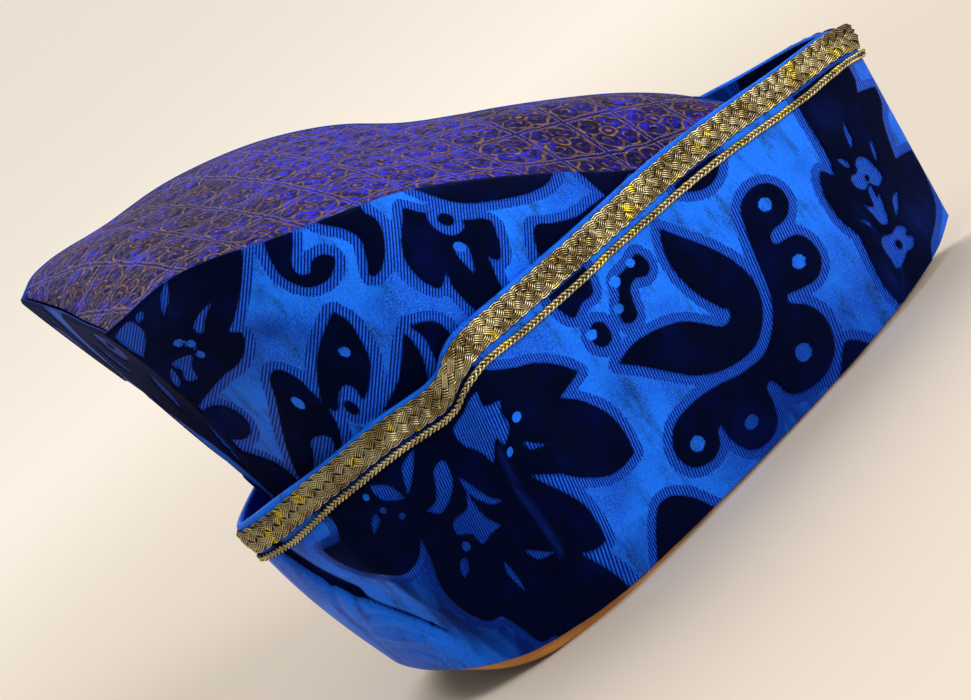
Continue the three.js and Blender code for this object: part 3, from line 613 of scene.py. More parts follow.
def makeCrownSides():
    guides = crownGuides()
    places = crownPlaces()
    half = crown["thickness"] / 2
    levels = np.concatenate([np.linspace(0, 1, 9)[:-1], np.linspace(1, 2, velvet["crownRows"] - 8)])
    outer = np.array([finer(crownRing(guides, v), crownCorners, places) for v in levels])
    innerLevels = np.linspace(1.98, 0, velvet["innerRows"])
    inner = np.array([finer(inset(crownRing(guides, v), crown["thickness"]), crownCorners, places)
                      for v in innerLevels])
    crest = np.array([finer(inset(crownRing(guides, 2), half), crownCorners, places)])
    crest[..., 2] += velvet["crestLift"]
    down = np.linalg.norm(np.diff(outer[::-1], axis=0), axis=2).cumsum(0)[::-1]
    down = np.vstack([down, np.zeros((1, len(places)))])
    # each panel has its own way along its seam
    run = runLength(np.vstack([outer[-1], outer[-1, :1]]))
    corners = np.interp(crownCorners, np.append(places, crownCorners[-1]), run)
    right = places < crownCorners[1]
    left = places >= crownCorners[2]
    rear = ~right & ~left
    along = np.where(left, corners[3] - run[:-1], velvet["backStart"] + (run[:-1] - corners[1]))
    along = np.where(right, run[:-1], along)
    along = np.broadcast_to(along, down.shape).copy()
    fields = np.array(chartFields(crownChart + crownMore, along, down, velvet["border"]))
    fields[:, :, rear] = chartFields(
        crownBack, along[:, rear] - velvet["backStart"], down[:, rear], velvet["border"])
    pile, plain, eyes, eyeAlong, eyeDown = fields
    rubbedAndRidgeHighlight = rubbedShare(crownRubbed, along, down) * ~rear
    # painted shade: the crown's back panel darker all over, and darker in the listed places
    paintedShadeAndScuffs = np.where(rear, velvet["backPaintedShade"], rubbedShare(crownPaintedShade, along, down))
    lift = velvet["pileHeight"] * velvet["crownPile"] * ease(-np.maximum(pile, -eyes), -0.5, 0.8)
    lift = lift * ease(down, 0.3, 1.2) * ease(levels, 0.9, 1.05)[:, None]
    outer += surfaceNormals(outer) * lift[..., None]
    forward, upward = velvet["crownRib"]
    rib = np.where(rear, outer[..., 1], forward * outer[..., 0] - upward * outer[..., 2])
    grid = np.concatenate([outer, crest, inner])
    # each mark on the face, and its value on the crest and inside, where the cloth is plain and darkened with painted
    # shade
    inside = (len(grid) - len(outer), len(places))
    marks = {"pile": (pile, 2.0), "plain": (plain, -9.0), "rib": (rib, 0.3), "rubbedAndRidgeHighlight": (rubbedAndRidgeHighlight, 0.0),
             "paintedShadeAndScuffs": (paintedShadeAndScuffs, velvet["innerPaintedShade"]), "eyes": (eyes, 9.0), "eyeAlong": (eyeAlong, 9.0),
             "eyeDown": (eyeDown, 9.0)}
    return clothPiece("crown_velvet_sides", grid.reshape(-1, 3), loopQuads(len(grid), len(places)), {
        mark: np.concatenate([field, np.full(inside, value)]) for mark, (field, value) in marks.items()})


lining = {"thickness": 1.0, "rows": 18, "stations": 520}


def makeLining():
    places = np.arange(lining["stations"]) * band["stations"] / lining["stations"]
    clear = band["thickness"] + seams["gap"]
    levels = np.linspace(0, crown["footShare"], lining["rows"])
    outer = [finer(inset(bandRing(bandShares, v), clear), [0, band["stations"]], places) for v in levels]
    inner = [finer(inset(inset(bandRing(bandShares, v), clear), lining["thickness"]), [0, band["stations"]], places)
             for v in levels[::-1]]
    grid = np.array(outer + inner)
    return clothPiece("rim_lining_satin", grid.reshape(-1, 3), loopQuads(len(grid), len(places)))


brocade = {"thickness": 1.2, "puff": 7, "frontFade": 0.25, "backFade": 0.12, "backBow": 6, "cell": 21.0,
           "turn": -15.0, "shift": 0.35, "pucker": 0.55, "ripple": 0.35, "longSteps": 270, "crossSteps": 96}
# along, across, lift, span
topWaves = [(0.78, 0.5, -0.5, 0.1), (0.56, 0.6, -0.7, 0.09), (0.3, 0.5, 0.6, 0.12), (0.93, 0.7, 0.3, 0.07)]


def topSwell(along, across):
    ends = np.minimum(1, (1 - along) / brocade["backFade"]) * np.minimum(1, along / brocade["frontFade"])
    swell = 1
    for at, over, lift, span in topWaves:
        swell = swell + lift * bell(along - at, span) * bell(across - over, 0.5)
    return brocade["puff"] * np.sin(np.pi * across) * ends * swell


def makeBrocadeTop():
    border = inset(seamLoop, crown["thickness"] + seams["gap"])
    longSteps, crossSteps = brocade["longSteps"], brocade["crossSteps"]
    along = np.linspace(0, 1, longSteps + 1)
    across = np.linspace(0, 1, crossSteps + 1)
    near = finer(border, crownCorners, along * sideCount)
    far = finer(border, crownCorners, crownCorners[3] - along * sideCount)
    far[0] = near[0]
    rear = finer(border, crownCorners, crownCorners[1] + across * backCount)
    bow = rear - (rear[0] + (rear[-1] - rear[0]) * across[:, None])
    grid = near[:, None] + (far - near)[:, None] * across[None, :, None]
    grid = grid + bow[None] * (along[:, None, None] ** brocade["backBow"])
    grid[..., 2] += topSwell(along[:, None], across[None, :])
    # pattern coordinates: along the middle line, and across from it
    midRun = runLength(grid[:, crossSteps // 2])
    step = np.linalg.norm(np.diff(grid, axis=1), axis=2)
    out = np.concatenate([np.zeros((longSteps + 1, 1)), step.cumsum(1)], 1)
    out -= out[:, crossSteps // 2:crossSteps // 2 + 1]
    # the cloth puffs up between the lattice lines of its pattern, and ripples finely, in millimetres
    turn = math.radians(brocade["turn"])
    way = midRun[:, None]
    cellX = (way * math.cos(turn) + out * math.sin(turn)) / brocade["cell"]
    cellY = (out * math.cos(turn) - way * math.sin(turn)) / brocade["cell"] + brocade["shift"]
    puffs = np.abs(np.sin(np.pi * cellX) * np.sin(np.pi * cellY)) ** 0.6
    ripple = np.sin(way / 2.9 + 1.3 * np.sin(out / 5.0)) * np.sin(out / 2.3 + 1.1 * np.sin(way / 6.1))
    # both fade out at the seam
    edge = np.clip(np.minimum(across, 1 - across)[None, :] * 24, 0, 1)
    edge = edge * np.clip(np.minimum(along, 1 - along)[:, None] * 40, 0, 1)
    grid[..., 2] += brocade["pucker"] * (puffs + brocade["ripple"] * ripple) * edge
    i, j = np.meshgrid(np.arange(longSteps), np.arange(crossSteps), indexing="ij")
    quads = np.stack([a * (crossSteps + 1) + b for a, b in ((i, j), (i, j + 1), (i + 1, j + 1), (i + 1, j))],
                     2).reshape(-1, 4)
    piece = clothPiece("brocade_top_cloth", grid.reshape(-1, 3), quads, {
        "along": np.broadcast_to(midRun[:, None], out.shape), "across": out})
    bpy.ops.object.select_all(action="DESELECT")
    bpy.context.view_layer.objects.active = piece
    piece.select_set(True)
    bpy.ops.object.mode_set(mode="EDIT")
    bpy.ops.mesh.select_all(action="SELECT")
    bpy.ops.mesh.remove_doubles(threshold=0.00002)
    bpy.ops.object.mode_set(mode="OBJECT")
    wall = piece.modifiers.new("cloth", "SOLIDIFY")
    wall.thickness = brocade["thickness"] / 1000
    wall.offset = -1
    bpy.ops.object.modifier_apply(modifier="cloth")
    return piece


wideBraid = {"width": 10.4, "strands": 5, "wires": 4, "wireRadius": 0.36, "wirePitch": 0.76, "periods": 26,
             "steps": 30, "lift": 0.62, "middle": 1.4, "dome": 0.35, "overOne": True}
narrowBraid = {"width": 3.0, "strands": 3, "wires": 1, "wireRadius": 0.56, "wirePitch": 0.0, "periods": 116,
               "steps": 16, "lift": 0.48, "middle": 1.2, "dome": 0.1, "overOne": False}
# how the two braids wander down from the top edge: way round, wide one's middle, narrow one's middle
braidWander = np.array([
    [0, 4.9, 12.2], [20, 5.5, 14.0], [40, 5.8, 14.6], [60, 6.0, 14.9], [90, 6.2, 14.8], [120, 6.5, 15.1],
    [145, 6.3, 14.4], [165, 6.3, 15.1], [190, 6.3, 15.2], [205, 6.3, 14.6], [220, 6.6, 14.2], [240, 6.1, 13.3],
    [265, 5.8, 12.9], [285, 5.9, 13.0], [300, 7.0, 14.8], [312, 7.6, 15.8], [333, 7.0, 14.4],
])
# how loosely the strands lie: up to how many millimetres, what share of it across and out
braidLoose = {"much": (0.10, 0.08, 0.07), "across": 0.6, "out": 0.5}
# the dark strip below the plait, painted shadow between its strands: millimetres across from its middle and out from
# the velvet
gapShadowStrip = {"stations": 520, "rows": [(-4.4, 0.62), (0, 0.85), (4.4, 0.62), (4.4, 0.3), (-4.4, 0.3)]}
upperRing = bandRing(bandShares, 1, band["thickness"] / 2)
lowerRing = bandRing(bandShares, 0.75)
braidWay = (lowerRing - upperRing) / np.linalg.norm(lowerRing - upperRing, axis=1)[:, None]
braidGuides = np.concatenate([upperRing, braidWay, inset(upperRing, -1) - upperRing], axis=1)


def onBand(around, down, out):
    # a point on the band's outer face: share of the way round, down from the top edge, and out from it
    guide = finer(braidGuides, [0, band["stations"]], np.mod(around, 1) * band["stations"])
    way = guide[:, 3:6] / np.linalg.norm(guide[:, 3:6], axis=1)[:, None]
    face = guide[:, 6:9]
    return guide[:, :3] + way * (down - band["thickness"] / 2)[:, None] + face * out[:, None]


def braidMiddle(around, which):
    side = np.minimum(np.mod(around, 1), 1 - np.mod(around, 1)) * topLength
    return np.interp(side, braidWander[:, 0], braidWander[:, which])


def wireSkin(path, face, radius, sides):
    # rings of skin round one wire of a braid, along its own closed path
    ahead = np.roll(path, -1, axis=0) - np.roll(path, 1, axis=0)
    ahead /= np.linalg.norm(ahead, axis=1)[:, None]
    out = face - ahead * (face * ahead).sum(1)[:, None]
    out /= np.linalg.norm(out, axis=1)[:, None]
    across = np.cross(ahead, out)
    turn = (np.arange(sides) * 2 * np.pi / sides)[None, :, None]
    return path[:, None] + radius * (np.cos(turn) * out[:, None] + np.sin(turn) * across[:, None])


def makeBraid(name, plait, which):
    count, sides = plait["periods"] * plait["steps"], 6
    rng = np.random.default_rng(7 + which)
    travel = np.arange(count) / count
    reach = plait["width"] / 2 - (plait["wires"] - 1) / 2 * plait["wirePitch"] - plait["wireRadius"]
    forward = topLength / plait["periods"] / (2 * np.pi)
    skins, runs = [], []
    # how far each point of a wire's skin faces out from the band; the gilt material paints shade on the flanks from
    # it
    crowns = np.tile(np.cos(np.arange(sides) * 2 * np.pi / sides), count)
    for strand in range(plait["strands"]):
        turn = 2 * np.pi * (plait["periods"] * travel + strand / plait["strands"])
        loose = sum(a * np.sin(2 * np.pi * (f * travel + p)) for a, f, p in zip(
            braidLoose["much"], rng.integers(20, 90, 3), rng.random(3)))
        swing = reach * np.sin(turn) + braidLoose["across"] * loose * np.sin(turn)
        slope = reach * np.cos(turn)
        length = np.hypot(forward, slope)
        weave = np.sin((plait["strands"] - 1) * turn)
        if plait["overOne"]:
            weave = -np.sin(plait["strands"] * turn) * np.tanh(2.5 * np.cos(turn))
        high = plait["middle"] + plait["lift"] * weave
        high = high - plait["dome"] * (swing / reach) ** 2 + loose * braidLoose["out"]
        for wire in range(plait["wires"]):
            shift = (wire - (plait["wires"] - 1) / 2) * plait["wirePitch"]
            down = braidMiddle(travel, which) + swing + shift * forward / length
            around = travel - shift * slope / length / topLength
            path = onBand(around, down, high)
            face = onBand(around, down, high + 1) - path
            skins.append(wireSkin(path, face, plait["wireRadius"], sides))
            runs.append(np.repeat(runLength(path) + 37.0 * len(runs), sides))
    i, j = np.meshgrid(np.arange(count), np.arange(sides), indexing="ij")
    one = np.stack([i * sides + j, (i + 1) % count * sides + j,
                    (i + 1) % count * sides + (j + 1) % sides, i * sides + (j + 1) % sides], 2).reshape(-1, 4)
    quads = np.concatenate([one + k * count * sides for k in range(len(skins))])
    return clothPiece(name, np.array(skins).reshape(-1, 3), quads, {
        "run": np.concatenate(runs), "crown": np.tile(crowns, len(skins))})


def makeGapShadowStrip():
    places = np.arange(gapShadowStrip["stations"]) / gapShadowStrip["stations"]
    grid = np.array([onBand(places, braidMiddle(places, 1) + across, np.full(len(places), out))
                     for across, out in gapShadowStrip["rows"]])
    return clothPiece("wide_braid_gap_shadow", grid.reshape(-1, 3), loopQuads(len(grid), len(places)))


def linear(hexValue):
    # sRGB hex to linear
    parts = [int(hexValue[i:i + 2], 16) / 255 for i in (1, 3, 5)]
    return tuple(p / 12.92 if p <= 0.04045 else ((p + 0.055) / 1.055) ** 2.4 for p in parts) + (1.0,)


def addNode(tree, kind, links=(), out=0, **settings):
    # adds a node with its settings and what feeds it, and gives one of its outputs
    node = tree.nodes.new("ShaderNode" + kind)
    for name, value in settings.items():
        setattr(node, name, value)
    for key, value in links.items() if isinstance(links, dict) else enumerate(links):
        if isinstance(value, bpy.types.NodeSocket):
            tree.links.new(value, node.inputs[key])
        else:
            node.inputs[key].default_value = value
    return node.outputs[out]


# settings that many nodes share
smooth, rgba = {"interpolation_type": "SMOOTHSTEP"}, {"data_type": "RGBA"}


def newMaterial(name, sockets):
    # a Principled material with the values that are the same all over it, and what adds a node to it
    material = bpy.data.materials.new(name)
    material.use_nodes = True
    for socket, value in sockets.items():
        material.node_tree.nodes["Principled BSDF"].inputs[socket].default_value = value
    return material, partial(addNode, material.node_tree)


def feed(material, sockets):
    tree = material.node_tree
    for socket, value in sockets.items():
        tree.links.new(value, tree.nodes["Principled BSDF"].inputs[socket])
    return material


def velvetMaterial():
    # cut silk velvet: a satin ground that glows azure, corded borders, and pile that drinks the light
    look = {
        # the darkest satin tone is the scuffs' colour and also painted shade
        "ground": "#0d66f8", "groundDeep": "#0538c4", "groundShine": "#3a98ff", "paintedShadeAndScuffs": "#041a66",
        # the cords' gap tone is also painted shadow beside the pile
        "cord": "#0944d6", "cordShine": "#2a80ff", "cordGapAndPileShadow": "#030c58", "pile": "#010116",
        # the lighter pile tone is worn pile and also painted highlight on ridges
        "pileCrushed": "#020640", "pileRubbedAndHighlight": "#0a1f6e", "ribPitch": 1.08, "eyeSize": 2.3, "eyeReach": 0.7,
    }
    material, add = newMaterial("cut_silk_velvet", {
        "Sheen Weight": 0.08, "Sheen Roughness": 0.4, "Sheen Tint": linear("#1040e0"),
        "Specular IOR Level": 0.24, "Specular Tint": linear("#3f84ff")})
    place = add("TexCoord", out="Object")
    strokes = add("Mapping", {"Vector": place, "Rotation": (0.0, 0.5, 0.0), "Scale": (1.0, 1.0, 0.3)})
    tufts, floats, cloud, scuffs, crushed = (
        add("TexNoise", {"Vector": way, "Scale": scale, "Detail": detail, "Roughness": rough}, "Fac")
        for way, scale, detail, rough in (
            (place, 900.0, 2.0, 0.5),  # 1 mm tuft ends
            (place, 2400.0, 2.0, 0.5),  # 0.4 mm satin floats
            (place, 30.0, 3.0, 0.5),  # 33 mm handling marks
            (strokes, 170.0, 4.0, 0.6),  # 6 mm scuffs
            (place, 55.0, 5.0, 0.5)))  # 18 mm crushed pile
    rubbedAndRidgeHighlight, paintedShadeAndScuffs, eyeAlong, eyeDown, pile, plain, eyes, rib = (
        add("Attribute", out="Fac", attribute_name=name)
        for name in ("rubbedAndRidgeHighlight", "paintedShadeAndScuffs", "eyeAlong", "eyeDown", "pile", "plain", "eyes", "rib"))
    # inside an eye this is above nought, in millimetres
    eye = add("Math", [eyeDown, eyeDown, add("Math", [eyeAlong, 2.0], operation="POWER")],
              operation="MULTIPLY_ADD")
    eye = add("Math", [add("Math", [eye], operation="SQRT"), -look["eyeSize"], look["eyeSize"]],
              operation="MULTIPLY_ADD")
    eye = add("Math", [eye, add("Math", [look["eyeReach"], eyes], operation="SUBTRACT")], operation="MINIMUM")
    pile, plain = (
        add("Math", [add("Math", [field, eye], operation="MAXIMUM"),
                     add("MapRange", [tufts, 0.3, 0.7, -ragged, ragged])], operation="ADD")
        for field, ragged in ((pile, 0.14), (plain, 0.3)))
    inPile = add("MapRange", [pile, 0.2, -0.2, 0.0, 1.0], **smooth)
    isPlain = add("MapRange", [plain, -0.15, 0.25, 0.0, 1.0], **smooth)
    ribs = add("Math", [add("Math", [rib, 2 * math.pi / look["ribPitch"]], operation="MULTIPLY")],
               operation="SINE")
    cord = add("MapRange", [ribs, -0.65, 0.45, 0.0, 1.0], **smooth)
    ground, crest, nap, colour = (linear(look[name]) for name in ("ground", "cord", "pile", "cordGapAndPileShadow"))
    for share, tone in (
            (add("MapRange", [cloud, 0.38, 0.62, 0.0, 0.8], **smooth), "groundDeep"),
            (add("MapRange", [scuffs, 0.5, 0.7, 0.0, 0.8], **smooth), "paintedShadeAndScuffs"),
            # painted highlight: light specks on the satin floats
            (add("MapRange", [floats, 0.4, 0.7, 0.0, 0.5]), "groundShine"),
            # painted shade from the mark, broken up by the scuffs
            (add("Math", [paintedShadeAndScuffs, add("MapRange", [scuffs, 0.35, 0.6, 0.7, 1.0])],
                 operation="MULTIPLY", use_clamp=True), "paintedShadeAndScuffs")):
        ground = add("Mix", {0: share, 6: ground, 7: linear(look[tone])}, 2, **rgba)
    for share, tone in (
            # painted highlight: light specks on the cords
            (add("MapRange", [floats, 0.35, 0.7, 0.0, 0.7]), "cordShine"),
            # painted shade on the cords
            (add("Math", [paintedShadeAndScuffs, 0.8], operation="MULTIPLY", use_clamp=True), "paintedShadeAndScuffs")):
        crest = add("Mix", {0: share, 6: crest, 7: linear(look[tone])}, 2, **rgba)
    for share, tone in (
            (add("MapRange", [crushed, 0.5, 0.8, 0.0, 0.8]), "pileCrushed"),
            # worn pile, and painted highlight along the ridges
            (add("Math", [rubbedAndRidgeHighlight, add("MapRange", [scuffs, 0.35, 0.65, 0.1, 0.9])],
                 operation="MULTIPLY", use_clamp=True), "pileRubbedAndHighlight")):
        nap = add("Mix", {0: share, 6: nap, 7: linear(look[tone])}, 2, **rgba)
    # painted shadow: the cords darken beside the pile
    pileEdgeShadow = add("MapRange", [pile, 0.9, 0.05, 0.0, 0.55])
    for share, over in ((cord, crest), (pileEdgeShadow, linear(look["cordGapAndPileShadow"])), (isPlain, ground), (inPile, nap)):
        colour = add("Mix", {0: share, 6: colour, 7: over}, 2, **rgba)
    even = add("Math", [isPlain, inPile], operation="MAXIMUM")
    high = add("Math", [add("Math", [cord, add("Math", [1.0, even], operation="SUBTRACT")], operation="MULTIPLY"),
                        0.3, add("Math", [floats, 0.3], operation="MULTIPLY")], operation="MULTIPLY_ADD")
    high = add("Math", [add("MapRange", [pile, 0.5, -0.7, 0.0, 1.0], **smooth), 1.2, high],
               operation="MULTIPLY_ADD")
    high = add("Math", [inPile, add("Math", [tufts, 0.4], operation="MULTIPLY"), high], operation="MULTIPLY_ADD")
    matt = add("Math", [inPile, add("Math", [paintedShadeAndScuffs, 0.8], operation="MULTIPLY")], operation="MAXIMUM")
    return feed(material, {
        "Base Color": colour, "Roughness": add("MapRange", [matt, 0.0, 1.0, 0.4, 0.95]),
        "Normal": add("Bump", {"Strength": 0.7, "Distance": 0.0004, "Height": high})})


def brocadeMaterial():
    # silk brocade: indigo ground with painted violet-blue light, flowers in a lattice of raised bronze-gold thread
    look = {"ground": "#0a0760", "groundLit": "#2423f2", "groundDark": "#030120", "gold": "#75521e",
            "pale": "#b88f58", "groove": "#241708", "lattice": "#776290", "glowPlace": 155.0}
    material, add = newMaterial("silk_brocade", {
        "Sheen Weight": 0.02, "Sheen Roughness": 0.4, "Sheen Tint": linear("#2020ff"),
        "Specular IOR Level": 0.25, "Specular Tint": linear("#7a70ff")})
    place = add("TexCoord", out="Object")
    along, across = (add("Attribute", out="Fac", attribute_name=name) for name in ("along", "across"))
    wander = add("TexNoise", {"Vector": place, "Scale": 220.0, "Detail": 1.0}, "Color")  # 4.5 mm, uneven drawing
    patches, lumps, worn = (
        add("TexNoise", {"Vector": place, "Scale": scale, "Detail": detail}, "Fac")
        for scale, detail in ((60.0, 4.0),  # 17 mm patches of light
                              (330.0, 1.0),  # 3 mm lumps
                              (420.0, 3.0)))  # 2.4 mm, broken threads
    # millimetres from the middle of each cell, drawn a little unevenly
    cell, turn = brocade["cell"], math.radians(brocade["turn"])
    sides = []
    for one, other, lean, shift, drift in ((along, across, math.sin(turn), 0.0, "Red"),
                                           (across, along, -math.sin(turn), brocade["shift"], "Green")):
        # forty cells are added, which keeps the way above nought
        way = add("Math", [other, lean, (40 + shift) * cell], operation="MULTIPLY_ADD")
        way = add("Math", [one, math.cos(turn), way], operation="MULTIPLY_ADD")
        way = add("Math", [add("Math", [way, cell], operation="MODULO"), cell / 2], operation="SUBTRACT")
        drift = add("MapRange", [add("SeparateColor", [wander], drift), 0.3, 0.7, -0.4, 0.4])
        sides.append(add("Math", [add("Math", [drift, way], operation="ADD")], operation="ABSOLUTE"))
    p, q = (add("Math", sides, operation=kind) for kind in ("MAXIMUM", "MINIMUM"))

    def reach(px, py):
        # distance from a point that repeats in each eighth of the cell
        squares = [add("Math", [add("Math", [way, at], operation="SUBTRACT"), 2.0], operation="POWER")
                   for way, at in ((p, px), (q, py))]
        return add("Math", [add("Math", squares, operation="ADD")], operation="SQRT")

    far = reach(0.0, 0.0)
    # what is drawn: distance, radius, half width, and from where to where across the cell
    drawn = [(far, 2.7, 0.6, 0.0, 20.0), (far, 0.0, 1.5, 0.0, 20.0), (q, 0.0, 0.5, 3.6, 5.8),
             (reach(5.6, 3.4), 3.4, 0.6, 5.5, 20.0), (reach(4.5, 4.5), 1.6, 0.5, 0.0, 5.6)]
    gold = 0.0
    for distance, radius, half, start, end in drawn:
        gap = add("Math", [add("Math", [distance, radius], operation="SUBTRACT")], operation="ABSOLUTE")
        inked = add("MapRange", [gap, half, half * 0.5, 0.0, 1.0], **smooth)
        within = add("Math", [add("Math", [p, start], operation="GREATER_THAN"),
                              add("Math", [p, end], operation="LESS_THAN")], operation="MULTIPLY")
        gold = add("Math", [gold, add("Math", [inked, within], operation="MULTIPLY")], operation="MAXIMUM")
    # pitches in millimetres; weft and warp are coarser than the real thread so that they show
    twist, weft, warp = (
        add("Math", [add("Math", [way, 2 * math.pi / pitch], operation="MULTIPLY")], operation="SINE")
        for way, pitch in ((q, 1.5), (along, 0.7), (across, 0.6)))
    fromBar, fromGlow = (
        add("Math", [add("Math", [way, middle], operation="SUBTRACT")], operation="ABSOLUTE")
        for way, middle in ((p, 9.6), (along, look["glowPlace"])))
    bars = add("Math", [add("MapRange", [fromBar, 0.5, 0.25, 0.0, 1.0], **smooth),
                        add("MapRange", [twist, -0.8, 0.3, 0.5, 1.0])], operation="MULTIPLY")
    gold = add("Math", [gold, add("MapRange", [worn, 0.3, 0.5, 0.35, 1.0])], operation="MULTIPLY")
    # painted light: patches of light, and a glow round the middle of the top, in the lit ground colour
    lit = add("Math", [add("MapRange", [patches, 0.42, 0.68, 0.0, 1.0], **smooth),
                       add("MapRange", [fromGlow, 60.0, 20.0, 0.0, 0.6], **smooth)], use_clamp=True)
    threads = add("Math", [weft, worn], operation="MULTIPLY")
    ground, thread = linear(look["ground"]), linear(look["gold"])
    for share, tone in ((lit, "groundLit"),
                        (add("MapRange", [threads, -0.1, 0.5, 0.0, 0.7]), "groundDark"),
                        # painted shade in the hollows between the lumps, which the bump lowers too
                        (add("MapRange", [lumps, 0.56, 0.38, 0.0, 0.95]), "groundDark")):
        ground = add("Mix", {0: share, 6: ground, 7: linear(look[tone])}, 2, **rgba)
    for share, tone in ((add("MapRange", [worn, 0.45, 0.7, 0.0, 1.0]), "pale"),
                        (add("MapRange", [warp, -1.0, 0.6, 0.55, 0.0]), "groove")):
        thread = add("Mix", {0: share, 6: thread, 7: linear(look[tone])}, 2, **rgba)
    colour = add("Mix", {0: bars, 6: ground, 7: linear(look["lattice"])}, 2, **rgba)
    colour = add("Mix", {0: gold, 6: colour, 7: thread}, 2, **rgba)
    raised = add("Math", [gold, bars], operation="MAXIMUM")
    # the ground puffs up between the drawn lines, which tie it down
    high = add("Math", [raised, -1.0, add("MapRange", [lumps, 0.3, 0.7, 0.0, 1.5])], operation="MULTIPLY_ADD")
    high = add("Math", [add("Math", [weft, warp], operation="ADD"), 0.06, high], operation="MULTIPLY_ADD")
    return feed(material, {
        "Base Color": colour, "Metallic": add("Math", [gold, 0.5], operation="MULTIPLY"),
        "Roughness": add("MapRange", [raised, 0.0, 1.0, 0.5, 0.38]),
        "Normal": add("Bump", {"Strength": 1.0, "Distance": 0.0009, "Height": high})})


# the groove tone is painted shade on the wires' flanks, standing also for tarnish in the grooves
gilt = {"dull": "#7f6e43", "pale": "#cdbf8e", "grey": "#bdb6a2", "bright": "#f2d83c", "groove": "#171004"}


def giltMaterial(name, look):
    # tarnished gilt wire: grey gold that still flashes on its crowns, painted shade on the wires' flanks and
    # undersides that also stands for brown tarnish in the grooves, bright where rubbed
    material, add = newMaterial(name, {"Metallic": 0.9})
    place = add("TexCoord", out="Object")
    run, crown = (add("Attribute", out="Fac", attribute_name=mark) for mark in ("run", "crown"))
    tone, patch, grain = (
        add("TexNoise", {"Vector": place, "Scale": scale, "Detail": detail}, "Fac")
        for scale, detail in ((130.0, 3.0),  # 8 mm tarnish
                              (150.0, 0.0),  # 7 mm rubbed places
                              (1800.0, 1.0)))  # 0.5 mm foil wraps
    stretch = add("TexNoise", {"W": add("Math", [run, 0.3], operation="MULTIPLY"), "Scale": 1.0, "Detail": 1.0},
                  "Fac", noise_dimensions="1D")  # 3 mm along each wire
    spots = add("Math", [add("MapRange", [patch, 0.66, 0.7, 0.0, 1.0]),
                         add("MapRange", [stretch, 0.44, 0.52, 0.0, 1.0])], operation="MULTIPLY")
    colour = linear(look["dull"])
    for share, over in ((add("MapRange", [tone, 0.35, 0.65, 0.0, 1.0], **smooth), "pale"),
                        (add("MapRange", [stretch, 0.5, 0.7, 0.0, 0.6]), "grey"), (spots, "bright"),
                        # painted shade on the wires' flanks and undersides, standing also for tarnish in the grooves
                        (add("MapRange", [crown, 0.82, 0.45, 0.0, 0.95]), "groove")):
        colour = add("Mix", {0: share, 6: colour, 7: linear(look[over])}, 2, **rgba)
    return feed(material, {
        "Base Color": colour, "Roughness": add("MapRange", [tone, 0.3, 0.7, 0.26, 0.4]),
        "Normal": add("Bump", {"Strength": 0.2, "Distance": 0.0001, "Height": grain})})


def plainCloth(name, base, shade, roughness, grain, sheen):
    # one colour that drifts over 25 mm, with a grain of threads or fibres
    material, add = newMaterial(name, {"Sheen Weight": sheen})
    place = add("TexCoord", out="Object")
    drift, threads = (add("TexNoise", {"Vector": place, "Scale": scale, "Detail": detail}, "Fac")
                      for scale, detail in ((40.0, 4.0), (grain, 2.0)))
    share = add("MapRange", [drift, 0.3, 0.7, 0.0, 1.0], **smooth)
    return feed(material, {
        "Base Color": add("Mix", {0: share, 6: linear(base), 7: linear(shade)}, 2, **rgba),
        "Roughness": add("MapRange", [threads, 0.2, 0.8, roughness - 0.08, roughness + 0.08]),
        "Normal": add("Bump", {"Strength": 0.5, "Distance": 0.0003, "Height": threads})})


def finishPiece(piece, material, node):
    piece.data.materials.append(material)
    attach(piece, "root")
    if node:
        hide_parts(node)
    print(piece.name, len(piece.data.polygons))
    return piece


velvetCloth = velvetMaterial()
bandPiece = finishPiece(makeVelvetBand(), velvetCloth, "velvet_band")
crownPiece = finishPiece(makeCrownSides(), velvetCloth, "crown_sides")
# tan satin: soft warm glow, brown where it turns under
satin = {"base": "#d8933f", "shade": "#c07a2c", "roughness": 0.45, "grain": 1800.0, "sheen": 0.15}
tanSatin = plainCloth("tan_satin_lining", **satin)
liningPiece = finishPiece(makeLining(), tanSatin, "rim_lining")
topPiece = finishPiece(makeBrocadeTop(), brocadeMaterial(), "brocade_top")
giltWire = giltMaterial("tarnished_gilt_wire", gilt)
finishPiece(makeBraid("wide_braid_plait", wideBraid, 1), giltWire, "wide_braid")
# painted shadow: a dark strip that shows only between the strands
gapShadowLook = {"base": "#2a2110", "shade": "#171208", "roughness": 0.8, "grain": 1500.0, "sheen": 0.0}
gapShadowCloth = plainCloth("braid_gap_shadow", **gapShadowLook)
finishPiece(makeGapShadowStrip(), gapShadowCloth, None)
giltCord = giltMaterial("tarnished_gilt_cord", {**gilt, "dull": "#978a60"})
finishPiece(makeBraid("narrow_braid_chain", narrowBraid, 2), giltCord, "narrow_braid")

# where the camera stands, in millimetres and degrees, on the cap's right side. It is rolled to the
# slant that the cap has in the photograph, so many pixels down for so many across.
view = {"target": (-34.9, 0.13, 83.95), "azimuth": 10.0, "elevation": 11.0, "distance": 1100.0,
        "slantDown": 495, "slantAcross": 620, "lens": 114.88, "sensor": 36, "clipEnd": 200}


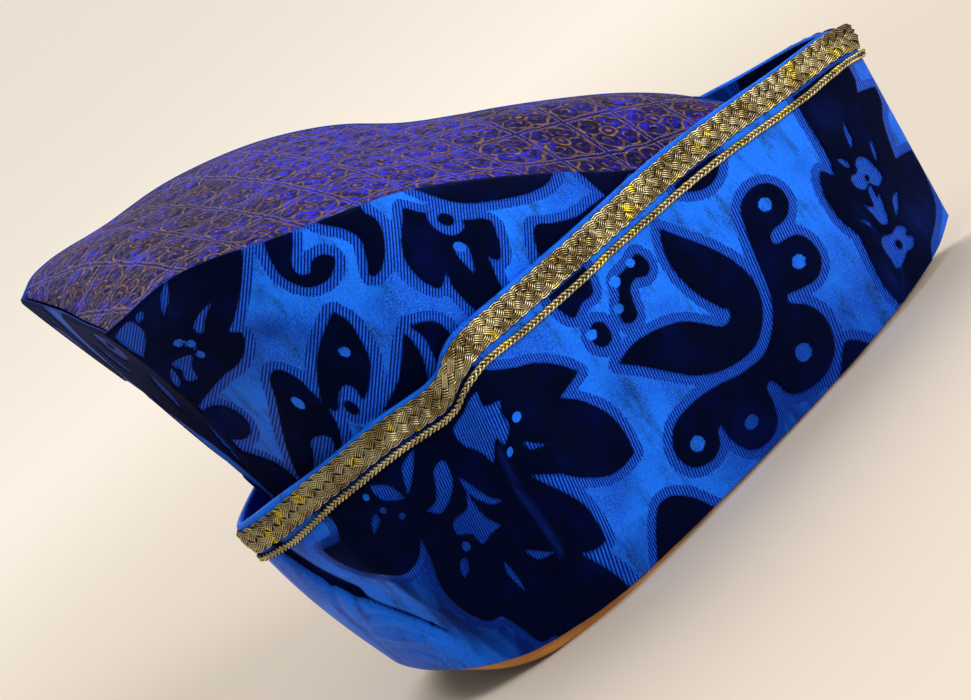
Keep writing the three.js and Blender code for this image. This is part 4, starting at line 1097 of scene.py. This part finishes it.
def makeCamera():
    az, el = math.radians(view["azimuth"]), math.radians(view["elevation"])
    roll = math.atan2(view["slantDown"], view["slantAcross"])
    toward = np.array([-math.sin(az) * math.cos(el), -math.cos(az) * math.cos(el), math.sin(el)])
    right = np.cross(-toward, [0, 0, 1])
    right /= np.linalg.norm(right)
    up = np.cross(right, -toward)
    side = math.cos(roll) * right - math.sin(roll) * up
    above = math.sin(roll) * right + math.cos(roll) * up
    place = (np.array(view["target"]) + toward * view["distance"]) / 1000
    camera = bpy.data.objects.new("camera", bpy.data.cameras.new("camera"))
    camera.data.lens = view["lens"]
    camera.data.sensor_width = view["sensor"]
    camera.data.clip_end = view["clipEnd"]
    camera.matrix_world = Matrix([*np.stack([side, above, toward, place], 1).tolist(), [0, 0, 0, 1]])
    scene.collection.objects.link(camera)
    scene.camera = camera


# soft lamps: name, kind, place in metres, size, watts, colour
studio = {
    "lamps": [("key", "AREA", (1.6, -2.27, 1.26), 1.1, 62.0, "#fffaf4"),
              ("top", "AREA", (-0.2, -0.6, 1.8), 1.0, 4.0, "#fff8f0"),
              ("rear", "SUN", (0.0, 1.0, 1.7), math.radians(50), 1.7, "#fffcf8")],
    "aim": (0, 0, 0.09), "air": "#f6f1ea", "airStrength": 0.42,
    # the paper's near colour is painted shade round the cap
    "paperShadedNear": "#dbd1c5", "paperFar": "#fdf6ec", "near": 0.3, "far": 1.2, "floorRadius": 60,
}


def paperMaterial():
    # matt backdrop paper: even, with painted shade that makes it darker near the cap and paler further off
    material, add = newMaterial("matt_backdrop_paper", {"Roughness": 0.9, "Specular IOR Level": 0.2})
    away = add("VectorMath", [add("TexCoord", out="Object")], "Value", operation="LENGTH")
    return feed(material, {"Base Color": add("Mix", {
        0: add("MapRange", [away, studio["near"], studio["far"], 0.0, 1.0], **smooth),
        6: linear(studio["paperShadedNear"]), 7: linear(studio["paperFar"])}, 2, **rgba)})


def makeStudio():
    for name, kind, place, size, power, colour in studio["lamps"]:
        lamp = bpy.data.lights.new(name, kind)
        if kind == "AREA":
            lamp.shape = "DISK"
            lamp.size = size
        else:
            lamp.angle = size
        lamp.energy = power
        lamp.color = linear(colour)[:3]
        light = bpy.data.objects.new(name, lamp)
        light.location = place
        light.rotation_euler = (Vector(place) - Vector(studio["aim"])).to_track_quat("Z", "Y").to_euler()
        scene.collection.objects.link(light)
    bpy.ops.mesh.primitive_circle_add(vertices=96, radius=studio["floorRadius"], fill_type="NGON", location=(0, 0, 0))
    floor = bpy.context.object
    floor.name = "studio_floor"
    floor.data.materials.append(paperMaterial())
    world = bpy.data.worlds.new("studio")
    scene.world = world
    world.use_nodes = True
    air = world.node_tree.nodes["Background"]
    air.inputs["Color"].default_value = linear(studio["air"])
    air.inputs["Strength"].default_value = studio["airStrength"]
    scene.view_settings.view_transform = "Standard"
    scene.view_settings.look = "None"


makeCamera()
makeStudio()
print("scene is lit")
